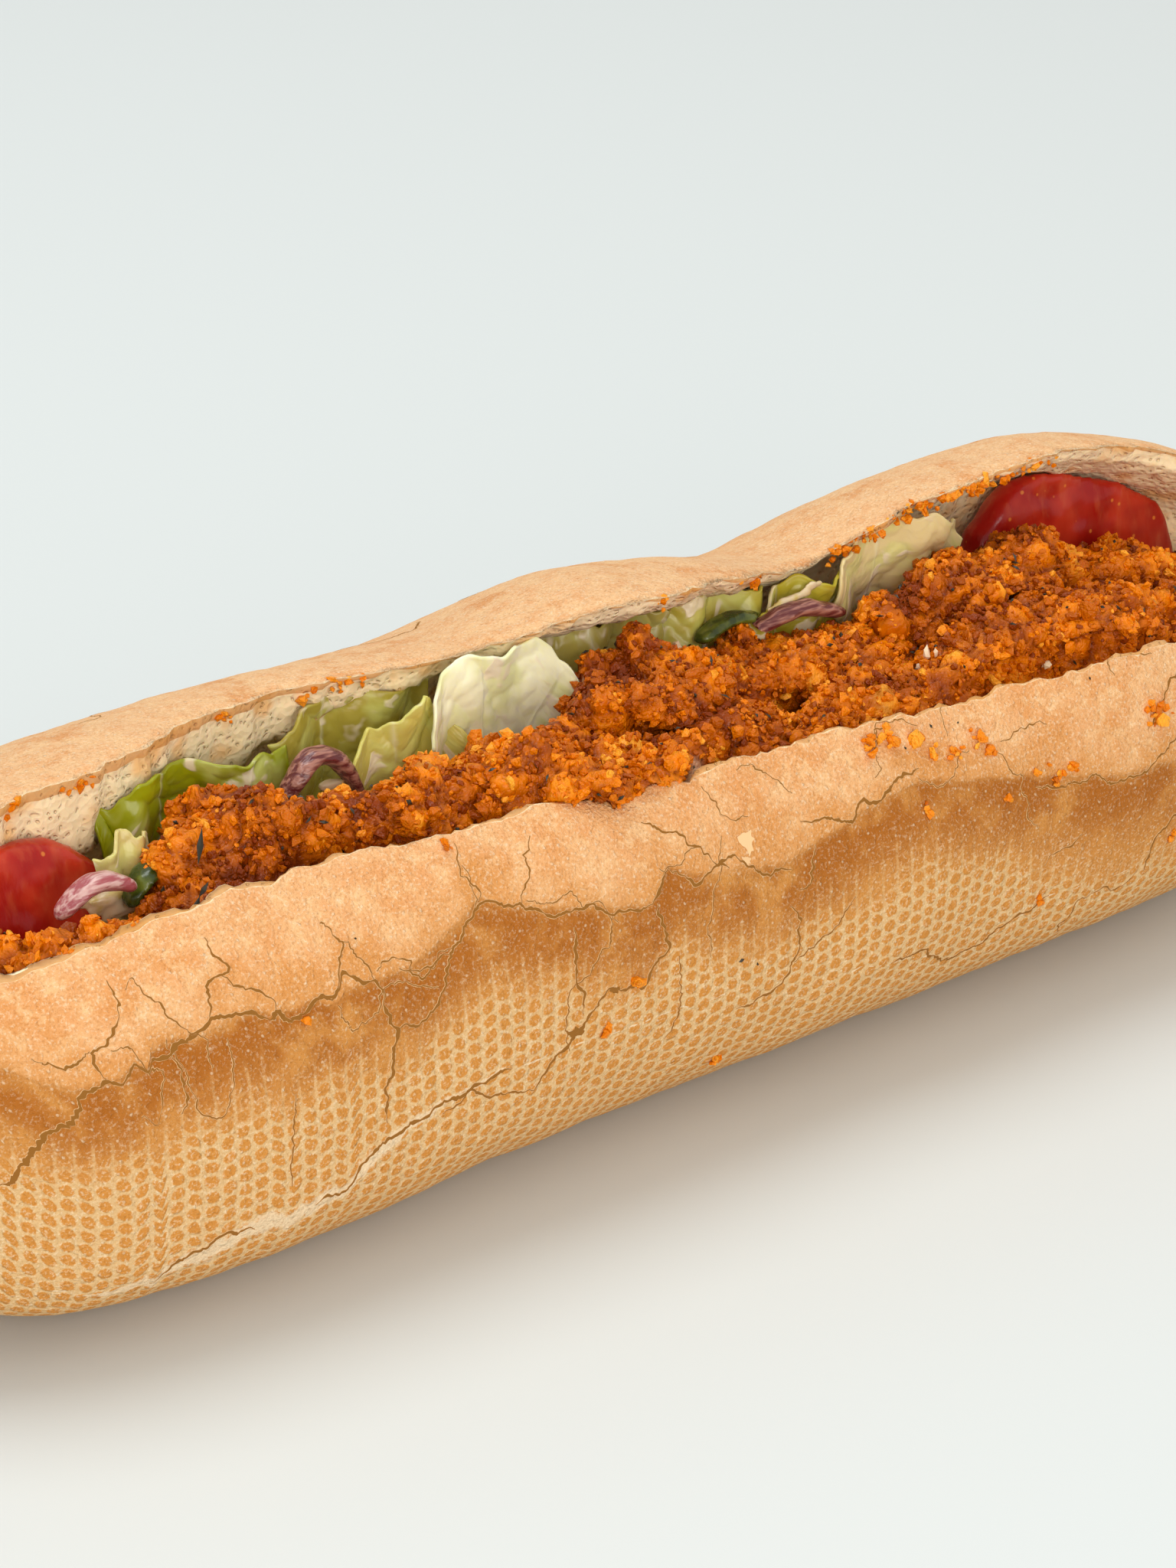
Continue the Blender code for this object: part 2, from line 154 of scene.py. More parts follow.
def crust_point(x, degrees):
    """Point on the loaf's outside, at x and at an angle round the section."""
    taper = end_taper(x)
    angle = math.radians(degrees)
    c, s = math.cos(angle), math.sin(angle)
    lower = LOWER_ROUNDNESS + SQUARER_CHANGE * min(max(SQUARER_BEFORE - x, 0.0), SQUARER_REACH)
    exponent = 2 / (UPPER_ROUNDNESS if s > 0 else lower)
    half_height = ROLL_HEIGHT / 2 + FLAT_SINK / 2
    lift = smooth_along(x, 3) * max(s, 0.0) ** 2 * (1 if c > -0.3 else 0.4)
    y = ROLL_WIDTH / 2 * taper * power(c, exponent)
    middle = half_height * (0.92 + 0.08 * taper)
    z = middle + half_height * taper * power(s, exponent) + lift * taper - FLAT_SINK
    waver = noise.noise(Vector((x * 38, math.cos(angle) * 1.3, math.sin(angle) * 1.3)))
    y += 0.0011 * waver * c * taper
    z += 0.0011 * waver * max(s, 0.0) * taper
    return Vector((x, y, max(z, 0.0)))


def lips(x):
    """Angles of the near lip and the lid's lip at x, ragged as a torn cut is."""
    near, lid = smooth_along(x, 1), smooth_along(x, 2)
    near += 1.6 * noise.noise(Vector((x * 120, 3.1, 0))) + 1.3 * noise.noise(Vector((x * 520, 7.7, 0)))
    lid += 1.5 * noise.noise(Vector((x * 150, 11.3, 0))) + 0.9 * noise.noise(Vector((x * 480, 5.9, 0)))
    middle, half = (near + lid) / 2, (near - lid) / 2
    half *= mouth_opening(x)
    return middle + half, middle - half


def curve_through(points, count):
    """Points evenly spaced by parameter on a Catmull-Rom curve through points."""
    found = []
    for k in range(count):
        t = k / (count - 1) * (len(points) - 1)
        i = min(int(t), len(points) - 2)
        u = t - i
        p0, p1 = points[max(i - 1, 0)], points[i]
        p2, p3 = points[i + 1], points[min(i + 2, len(points) - 1)]
        straight = 2 * p1 + (p2 - p0) * u
        bent = (2 * p0 - 5 * p1 + 4 * p2 - p3) * u * u
        turned = (3 * p1 - p0 - 3 * p2 + p3) * u**3
        found.append(0.5 * (straight + bent + turned))
    return found


def pocket_path(x, near, lid):
    """The cut faces at x, from the near lip down over the floor and up under the lid."""
    half = ROLL_WIDTH / 2
    lip = LIP_THICKNESS + THICK_LIP * math.exp(-(((x - THICK_LIP_AT) / THICK_LIP_REACH) ** 2))
    lip += sum(depth * math.exp(-(((x - place) / reach) ** 2)) for place, reach, depth in HANGING)
    torn = max(noise.noise(Vector((x * 140, 2.0, 4.0))) - 0.05, 0.0) + (0.45 if x < TORN_BEFORE else 0.0)
    full = [
        near + Vector((0, NEAR_LIP * (0.12 + 1.7 * torn), 0.0002)),
        Vector((x, -half + WALL + 0.002, near.z - 0.008)),
        Vector((x, -half + WALL + 0.006, FLOOR_HEIGHT + 0.002)),
        Vector((x, -0.008, FLOOR_HEIGHT)),
        Vector((x, POCKET_BACK - 0.006, FLOOR_HEIGHT + 0.001)),
        Vector((x, POCKET_BACK, FLOOR_HEIGHT + 0.009)),
        Vector((x, POCKET_BACK - 0.002, lid.z - LID_THICKNESS - 0.005)),
        Vector((x, lid.y + 0.008, lid.z - max(LID_THICKNESS, lip))),
        lid + Vector((0, 0.002, -lip)),
    ]
    shut = (near + lid) / 2
    depth = mouth_opening(x)
    found = curve_through([shut.lerp(p, depth) for p in full], INNER_COLUMNS)
    return found + [found[-1].lerp(lid, k / FACE_COLUMNS) for k in range(1, FACE_COLUMNS)]


# Meshes

def grid_faces(rows, columns, closed):
    """Quads of a grid of points; closed joins the last column to the first."""
    wide = columns if closed else columns - 1
    j, i = np.meshgrid(np.arange(rows - 1), np.arange(wide), indexing="ij")
    n = (i + 1) % columns
    here, beyond = j * columns, (j + 1) * columns
    return np.stack([here + i, beyond + i, beyond + n, here + n], -1).reshape(-1, 4)


def mesh_object(name, points, faces, material, smooth=True):
    mesh = bpy.data.meshes.new(name)
    mesh.from_pydata([tuple(p) for p in points], [], [tuple(int(i) for i in f) for f in faces])
    mesh.update()
    mesh.shade_smooth() if smooth else mesh.shade_flat()
    obj = bpy.data.objects.new(name, mesh)
    bpy.context.scene.collection.objects.link(obj)
    if material:
        mesh.materials.append(material)
    return obj


def store(obj, name, values):
    """Keep one number or vector per point on the mesh, for its material."""
    values = np.asarray(values, dtype=np.float32)
    kind, field = ("FLOAT", "value") if values.ndim == 1 else ("FLOAT_VECTOR", "vector")
    layer = obj.data.attributes.new(name, kind, "POINT")
    layer.data.foreach_set(field, values.ravel())


def points_of(obj):
    found = np.empty(len(obj.data.vertices) * 3)
    obj.data.vertices.foreach_get("co", found)
    return found.reshape(-1, 3)


def normals_of(obj):
    found = np.empty(len(obj.data.vertices) * 3)
    obj.data.vertices.foreach_get("normal", found)
    return found.reshape(-1, 3)


def grain(points, size_mm, seed=0.0):
    """Perlin noise at each point, with features of size_mm."""
    scale = 1000 / size_mm
    shift = Vector((seed * 3.1, seed * 1.7, seed * 2.3))
    return np.array([noise.noise(Vector(p) * scale + shift) for p in points])


def cells(points, size_mm, seed=0.0):
    """Distance to the nearest and second nearest cell centre, in cells of size_mm."""
    scale = 1000 / size_mm
    shift = Vector((seed * 5.3, seed * 2.9, seed * 7.1))
    found = np.array([noise.voronoi(Vector(p) * scale + shift)[0][:2] for p in points])
    return found[:, 0], found[:, 1]


# Material graphs

class Graph:
    """A material's nodes, with short calls for the ones used here."""

    def __init__(self, name):
        self.material = bpy.data.materials.new(name)
        self.material.use_nodes = True
        self.nodes = self.material.node_tree.nodes
        self.links = self.material.node_tree.links
        self.shader = self.nodes["Principled BSDF"]

    def put(self, socket, value):
        if isinstance(value, bpy.types.NodeSocket):
            self.links.new(value, socket)
        elif isinstance(value, tuple) and len(value) == 3 and socket.type == "RGBA":
            socket.default_value = (*value, 1.0)
        else:
            socket.default_value = value

    def surface(self, **values):
        for name, value in values.items():
            self.put(self.shader.inputs[name.replace("_", " ")], value)
        return self.material

    def add(self, kind, inputs=(), **settings):
        node = self.nodes.new(kind)
        for name, value in settings.items():
            setattr(node, name, value)
        for key, value in dict(inputs).items():
            self.put(node.inputs[key], value)
        return node

    def attribute(self, name):
        return self.add("ShaderNodeAttribute", attribute_name=name)

    def split(self, vector):
        node = self.add("ShaderNodeSeparateXYZ", {0: vector})
        return node.outputs[0], node.outputs[1], node.outputs[2]

    def join(self, x, y, z=0.0):
        return self.add("ShaderNodeCombineXYZ", {0: x, 1: y, 2: z}).outputs[0]

    def math(self, operation, a, b=0.0, c=0.0):
        return self.add("ShaderNodeMath", {0: a, 1: b, 2: c}, operation=operation).outputs[0]

    def vector(self, operation, a, b=(0, 0, 0)):
        return self.add("ShaderNodeVectorMath", {0: a, 1: b}, operation=operation).outputs[0]

    def scaled(self, vector, factor):
        return self.add("ShaderNodeVectorMath", {0: vector, 3: factor}, operation="SCALE").outputs[0]

    def step(self, value, low, high):
        """0 at low, 1 at high, smooth between; low may be above high."""
        inputs = {"Value": value, "From Min": low, "From Max": high}
        return self.add("ShaderNodeMapRange", inputs, interpolation_type="SMOOTHSTEP").outputs[0]

    def mix(self, share, a, b, blend="MIX"):
        node = self.add("ShaderNodeMix", data_type="RGBA", blend_type=blend)
        self.put(node.inputs[0], share)
        self.put(node.inputs[6], a)
        self.put(node.inputs[7], b)
        return node.outputs[2]

    def noise(self, vector, size_mm, detail=3.0, roughness=0.5, space="3D"):
        inputs = {"Vector": vector, "Scale": 1 / size_mm, "Detail": detail, "Roughness": roughness}
        return self.add("ShaderNodeTexNoise", inputs, noise_dimensions=space)

    def voronoi(self, vector, size_mm, feature="F1", space="3D"):
        inputs = {"Vector": vector, "Scale": 1 / size_mm}
        return self.add("ShaderNodeTexVoronoi", inputs, feature=feature, voronoi_dimensions=space)

    def wobble(self, vector, size_mm, reach_mm, detail=1.0, space="3D"):
        """vector pushed about by noise."""
        moved = self.noise(vector, size_mm, detail, space=space).outputs[1]
        centred = self.vector("SUBTRACT", moved, (0.5, 0.5, 0.5))
        return self.vector("ADD", vector, self.scaled(centred, reach_mm * 2))

    def bump(self, height_mm, strength=1.0, normal=None):
        inputs = {"Height": height_mm, "Distance": MM, "Strength": strength}
        node = self.add("ShaderNodeBump", inputs)
        if normal:
            self.put(node.inputs["Normal"], normal)
        return node.outputs[0]


# Bread colours
PALE_CRUST = (0.80, 0.435, 0.190)
WARM_CRUST = (0.72, 0.315, 0.100)
ROSY_CRUST = (0.77, 0.365, 0.145)
GOLDEN_CRUST = (0.66, 0.285, 0.072)
YELLOW_CRUST = (0.88, 0.560, 0.280)
LID_CRUST = (0.83, 0.490, 0.240)
RIDGE_CRUST = (0.68, 0.270, 0.075)
BROWN_CRUST = (0.400, 0.126, 0.013)
TAN_CRUST = (0.600, 0.262, 0.060)
TRAY_DOT = (0.620, 0.262, 0.050)
TRAY_LINE = (0.715, 0.480, 0.228)
SEAM_CRUMB = (0.800, 0.600, 0.370)
FLOUR = (0.94, 0.76, 0.52)
# Crack core: partly the darker break of the crust, partly painted shade in the gap. Flake edge: partly paler
# flake, partly painted highlight where the raised edge catches light.
CRACK_AND_SHADE = (0.280, 0.118, 0.022)
PALE_FLAKE_AND_HIGHLIGHT = (0.86, 0.560, 0.290)
CRUMB = (0.97, 0.780, 0.490)
# Painted shade inside the crumb's pores
PORE_SHADE = (0.78, 0.530, 0.270)
CRUMB_STAIN = (0.78, 0.380, 0.070)

# Print of the baking tray, in mm: columns across the roll, rows up it, each column a little higher
TRAY_COLUMN = 2.4
TRAY_ROW = 2.13
TRAY_RISE = 0.36
TIP_PRINTED = 126             # the print fades out between these distances along the loaf, in mm
TIP_PLAIN = 137
PRINT_LATER = 5               # how much further down the print starts on the far half of the loaf, in mm

# Lines on the crust: place along the roll and distance up from the middle of the underside, in mm.
# Most of these, the cracks, the broken spots and the fallen crumbs come from points read off the
# photograph, which a scratch program placed on the loaf. They are rounded.
PLATES_END = (
    (-142, 66), (-122, 66), (-114, 67), (-108, 69), (-97, 72), (-86, 74), (-70, 73), (-60, 74),
    (-51, 78), (-40, 74), (-25, 70), (-21, 74), (-15, 71), (0, 69), (12, 72), (25, 74), (40, 70), (54, 66),
    (68, 64), (90, 62), (142, 50),
)
SEAM = (
    (-142, 34), (-103, 38), (-90, 43), (-75, 46), (-65, 52), (-50, 54), (0, 52), (19, 47), (38, 43),
    (50, 48), (142, 46),
)
SEAM_WIDTH = ((-142, 0.1), (-112, 0.2), (-100, 2.0), (-72, 1.6), (-58, 0.6), (-45, 0.2), (142, 0.1))
BACK_PLATES_END = 68
# Share of the way up to the mouth that the line keeps to at most, by mm from the loaf's middle
FRONT_PLATES_SHARE = ((0, 0.95), (116, 0.95), (138, 0.66))
BACK_PLATES_SHARE = 0.50
LEDGE = 0.30                 # how far the plates stand out over the band under them, in mm

# Cracks: width, then points along the roll and up from the middle of the underside, in mm
CRACKS = (
    (0.40, (-122, 49), (-119, 54), (-117, 59), (-114, 62), (-111, 67), (-108, 69), (-104, 70), (-99, 70),
     (-97, 72), (-93, 74), (-89, 74), (-86, 73), (-84, 75), (-82, 72), (-78, 74), (-73, 75),
     (-69, 73), (-68, 71)),
    (0.34, (-68, 72), (-68, 70), (-67, 66), (-68, 62), (-69, 58), (-69, 53)),
    (0.28, (-67, 66), (-63, 66), (-60, 67), (-57, 73), (-53, 76), (-51, 78), (-45, 76), (-40, 73), (-35, 73),
     (-32, 71), (-25, 70)),
    (0.45, (-25, 70), (-23, 72), (-21, 74)),
    (0.20, (-65, 74), (-62, 72), (-57, 73)),
    (0.24, (-104, 81), (-104, 78), (-107, 74), (-109, 73), (-108, 69)),
    (0.26, (-90, 84), (-89, 80), (-90, 79), (-92, 78), (-93, 74)),
    (0.22, (-90, 79), (-87, 77), (-84, 76), (-84, 75)),
    (0.20, (-74, 83), (-72, 79), (-75, 75), (-78, 74)),
    (0.16, (-72, 79), (-71, 79), (-69, 73)),
    (0.16, (-116, 70), (-115, 69), (-111, 71), (-109, 73)),
    (0.20, (-99, 70), (-98, 67), (-98, 64), (-99, 62)),
    (0.14, (-83, 63), (-84, 54), (-84, 50)),
    (0.36, (-103, 38), (-96, 42), (-93, 44), (-89, 43)),
    (0.36, (-80, 45), (-75, 46), (-72, 49), (-65, 52), (-57, 53), (-49, 54)),
    (0.16, (-45, 76), (-43, 79), (-42, 82), (-40, 84)),
    (0.16, (-51, 86), (-52, 82), (-50, 79), (-51, 78)),
    (0.28, (-21, 74), (-17, 71), (-10, 72), (-8, 71), (-4, 68), (0, 68)),
    (0.34, (-24, 70), (-23, 63), (-27, 59), (-33, 60), (-35, 59), (-37, 56), (-42, 52), (-45, 49)),
    (0.20, (-45, 49), (-52, 51), (-56, 53), (-60, 51)),
    (0.30, (-38, 71), (-38, 64), (-37, 58)),
    (0.16, (-21, 61), (-20, 53), (-22, 48)),
    (0.28, (5, 70), (3, 65), (1, 65)),
    (0.26, (-1, 63), (1, 60), (0, 54), (-2, 51), (-6, 50), (-10, 49)),
    (0.16, (11, 61), (7, 57), (3, 55), (0, 54)),
    (0.30, (3, 74), (12, 72), (14, 74), (17, 73), (20, 75), (25, 76)),
    (0.22, (46, 67), (53, 65), (56, 66), (61, 64), (67, 64), (76, 68)),
    (0.16, (55, 57), (49, 55), (48, 54)),
    (0.22, (-23, 81), (-19, 79), (-15, 74), (-11, 71)),
    (0.30, (50, 48), (41, 45), (38, 43), (32, 42), (25, 47), (19, 47)),
)
MORE_CRACKS = 60             # wandering ones on the lid, the back and the far end
HAIRLINES = 26               # finer ones between the plates of the front
CRACK_STEP = 0.30

# Spots where the crust is broken away, in mm: place, distance up, reach both ways, and how dark
BROKEN = (
    (-38, 55.5, 1.6, 0.9, 1.0), (-32, 60, 0.9, 0.6, 1.0), (-7, 74, 1.5, 1.9, 0.0),
    (-8, 71.5, 0.9, 0.8, 0.1),
)

# Crumbs fallen on the crust: place, distance up from the underside, how many, and their spread in mm
FALLEN = (
    (18, 82, 12, 1.6), (22, 81, 14, 1.8), (26, 80, 6, 1.0), (32, 76, 10, 1.4), (37, 77, 7, 1.1),
    (38, 74, 5, 0.9), (28, 77, 4, 0.8), (50, 67, 11, 1.3), (53, 68, 9, 1.1), (46, 69, 3, 0.8),
    (71, 72, 14, 1.8), (74, 51, 4, 0.8), (25, 70, 5, 0.7), (-28, 60, 7, 0.8), (-33, 54, 5, 0.7),
    (-10, 38, 6, 1.0), (40, 67, 3, 0.6), (48, 48, 3, 0.6), (-52, 86, 4, 0.7), (-80, 72, 1, 0.2),
    (96, 70, 5, 1.2), (110, 60, 4, 1.0),
)
# Crumbs along the lid's edge: place along it, how many, and their spread in mm
LID_FALLEN = (
    (-89, 14, 1.4), (-44, 12, 1.6), (-48, 4, 0.8), (24, 6, 1.2), (45, 12, 2.0), (50, 16, 2.6), (57, 22, 3.2),
    (64, 22, 3.0), (70, 18, 2.6), (76, 14, 2.4), (82, 8, 2.0), (-62, 6, 1.5), (-99, 5, 1.0), (3, 5, 1.0),
)
# Flecks of herb on the crust: place, distance up from the underside and size in mm
FLECKS = (
    (-10, 57, 1.1), (-7, 56, 0.6), (30, 81, 0.8), (24, 79, 0.6), (-70, 79, 0.5), (60, 80, 0.6),
    (35, 80, 0.5),
)


def crust_material():
    """Outside of the loaf: pale plates, a brown band under them, then the print of the tray."""
    g = Graph("crust")
    u, s, z = g.split(g.attribute("wrap").outputs["Vector"])
    under, seam, rim = g.split(g.attribute("zones").outputs["Vector"])
    flat = g.join(u, s)
    place = g.scaled(g.attribute("place").outputs["Vector"], 1000)
    fine = g.noise(place, 0.42, 2.0, 0.65).outputs[0]
    dust = g.noise(place, 1.3, 2.0, 0.6).outputs[0]
    blotch = g.noise(flat, 9.0, 3.0, 0.6, "2D").outputs[0]
    mottle = g.noise(place, 2.6, 3.0, 0.65).outputs[0]
    rough = g.math("MULTIPLY_ADD", dust, 5.0, -2.5)
    slow = g.math("MULTIPLY_ADD", blotch, 9.0, -4.5)
    below = g.math("ADD", under, g.math("MULTIPLY", rough, 0.25))
    sunk = g.math("ADD", g.math("ADD", under, rough), slow)

    # The tray's print: soft dots on a slanting lattice, whose upright lines run on above them
    print_at = g.wobble(flat, 6.0, 0.45, 1.0, "2D")
    px, ps, _ = g.split(print_at)
    column = g.math("ROUND", g.math("DIVIDE", px, TRAY_COLUMN))
    dx = g.math("SUBTRACT", px, g.math("MULTIPLY", column, TRAY_COLUMN))
    ds = g.math("SUBTRACT", ps, g.math("MULTIPLY", column, TRAY_RISE * TRAY_ROW))
    ds = g.math("WRAP", ds, TRAY_ROW / 2, -TRAY_ROW / 2)
    ds = g.math("MULTIPLY", ds, TRAY_COLUMN / TRAY_ROW)
    to_dot = g.math("SQRT", g.math("MULTIPLY_ADD", ds, ds, g.math("MULTIPLY", dx, dx)))
    to_dot = g.math("MULTIPLY_ADD", fine, 0.5, g.math("ADD", to_dot, -0.25))
    beside = g.math("MULTIPLY_ADD", fine, 0.5, g.math("ADD", g.math("ABSOLUTE", dx), -0.25))
    inked = g.step(g.math("ABSOLUTE", u), TIP_PLAIN, TIP_PRINTED)
    printed = g.math("MULTIPLY_ADD", g.step(u, 20.0, 60.0), -PRINT_LATER, sunk)
    full = g.math("MULTIPLY", g.step(printed, 8.5, 15.0), inked)
    between = g.math("MULTIPLY", g.step(to_dot, 0.80, 1.10), full)
    begun = g.math("MULTIPLY", g.step(printed, 5.5, 13.0), inked)
    upright = g.math("MULTIPLY", g.step(beside, 0.82, 1.12), begun)
    ragged_seam = g.math("ADD", seam, g.math("MULTIPLY", fine, 0.8))
    seam_crumb = g.step(g.math("MULTIPLY_ADD", dust, 2.0, ragged_seam), 2.4, 1.9)
    line = g.math("MAXIMUM", between, g.math("MULTIPLY", upright, 0.75))

    # Colours
    grains = g.voronoi(flat, 2.4, space="2D")
    some = g.math("GREATER_THAN", g.split(grains.outputs["Color"])[0], 0.45)
    flour = g.math("MULTIPLY", g.step(grains.outputs[0], 0.11, 0.05), some)
    pale_grain = g.step(fine, 0.50, 0.72)
    dark_grain = g.step(fine, 0.46, 0.28)
    top = g.mix(g.step(blotch, 0.34, 0.66), PALE_CRUST, WARM_CRUST)
    lid = g.step(z, 52.0, 62.0)
    top = g.mix(lid, top, LID_CRUST)
    ridge = g.math("MULTIPLY", lid, g.step(blotch, 0.54, 0.72))
    top = g.mix(g.math("MULTIPLY", ridge, 0.7), top, RIDGE_CRUST)
    top = g.mix(g.math("MULTIPLY", g.step(mottle, 0.50, 0.66), 0.55), top, ROSY_CRUST)
    top = g.mix(g.math("MULTIPLY", g.step(mottle, 0.50, 0.35), 0.55), top, YELLOW_CRUST)
    nearing = g.math("ADD", under, g.math("MULTIPLY", slow, 1.5))
    top = g.mix(g.math("MULTIPLY", g.step(nearing, -9.0, 0.0), 0.75), top, GOLDEN_CRUST)
    edge = g.step(below, -0.9, 0.9)
    brown = g.math("MULTIPLY", edge, g.step(sunk, 15.0, 4.0))
    colour = g.mix(edge, top, TAN_CRUST)
    colour = g.mix(g.math("MULTIPLY", brown, g.step(blotch, 0.28, 0.58)), colour, BROWN_CRUST)
    colour = g.mix(full, colour, TRAY_DOT)
    colour = g.mix(g.math("MULTIPLY", line, 0.90), colour, TRAY_LINE)
    colour = g.mix(seam_crumb, colour, SEAM_CRUMB)
    paler = g.math("MULTIPLY", pale_grain, g.math("MULTIPLY_ADD", brown, -0.20, 0.44))
    colour = g.mix(paler, colour, FLOUR)
    colour = g.mix(g.math("MULTIPLY", dark_grain, 0.32), colour, BROWN_CRUST)
    colour = g.mix(g.math("MULTIPLY", flour, 0.4), colour, FLOUR)
    colour = g.mix(g.step(g.math("MULTIPLY_ADD", dust, 0.5, rim), 0.55, 0.80), colour, CRUMB)

    height = g.math("MULTIPLY", fine, 0.34)
    height = g.math("MULTIPLY_ADD", dust, 0.30, height)
    height = g.math("MULTIPLY_ADD", mottle, 0.45, height)
    height = g.math("MULTIPLY_ADD", line, -0.10, height)
    height = g.math("MULTIPLY_ADD", flour, 0.08, height)
    height = g.math("MULTIPLY_ADD", g.step(below, -0.3, 0.3), -0.20, height)
    return g.surface(Base_Color=colour, Roughness=0.75, Specular_IOR_Level=0.15, Normal=g.bump(height))


def crumb_material():
    """The bread's cut and torn faces: pale and full of pores darkened by painted shade, with grease from the
    coating.
    """
    g = Graph("crumb")
    place = g.scaled(g.attribute("place").outputs["Vector"], 1000)
    moved = g.wobble(place, 2.0, 0.8)
    pores = g.voronoi(moved, 1.1).outputs[0]
    big_pores = g.voronoi(moved, 3.6).outputs[0]
    stain = g.noise(place, 6.0, 2.0).outputs[0]
    rim = g.split(g.attribute("zones").outputs["Vector"])[2]
    hollow = g.math("MAXIMUM", g.step(pores, 0.30, 0.12), g.step(big_pores, 0.20, 0.08))
    # Painted shade in the pores
    colour = g.mix(g.math("MULTIPLY", hollow, 0.4), CRUMB, PORE_SHADE)
    colour = g.mix(g.math("MULTIPLY", g.step(stain, 0.50, 0.70), 0.6), colour, CRUMB_STAIN)
    colour = g.mix(g.math("MULTIPLY", g.step(rim, 0.995, 0.96), 0.8), colour, TAN_CRUST)
    height = g.math("MULTIPLY_ADD", hollow, -0.22, g.math("MULTIPLY", pores, 0.25))
    return g.surface(
        Base_Color=colour,
        Roughness=0.85,
        Specular_IOR_Level=0.15,
        Subsurface_Weight=0.35,
        Subsurface_Radius=(0.0030, 0.0020, 0.0012),
        Normal=g.bump(height),
    )


def table(rows, x):
    """Value at x of a broken line given as (x, value) rows."""
    return np.interp(x, [row[0] for row in rows], [row[1] for row in rows])


class Crust:
    """The finished outside of the loaf, looked up by place along it and distance up it, in mm."""

    def __init__(self, xs, arcs, points, normals):
        self.xs, self.arcs, self.points, self.normals = xs * 1000, arcs * 1000, points, normals

    def at(self, x, s):
        """Point and normal of the crust there."""
        k = int(np.clip(np.searchsorted(self.xs, x) - 1, 0, len(self.xs) - 2))
        t = float(np.clip((x - self.xs[k]) / (self.xs[k + 1] - self.xs[k]), 0, 1))
        found = []
        for grid in (self.points, self.normals):
            rows = [
                np.array([np.interp(-s, -self.arcs[row], grid[row, :, axis]) for axis in range(3)])
                for row in (k, k + 1)
            ]
            found.append(rows[0] * (1 - t) + rows[1] * t)
        return found[0], found[1] / np.linalg.norm(found[1])

    def lip(self, x):
        """Point and outward direction on the torn edge of the lid."""
        k = int(np.argmin(abs(self.xs - x)))
        return self.points[k, -1], np.array([0.0, -0.8, -0.2])


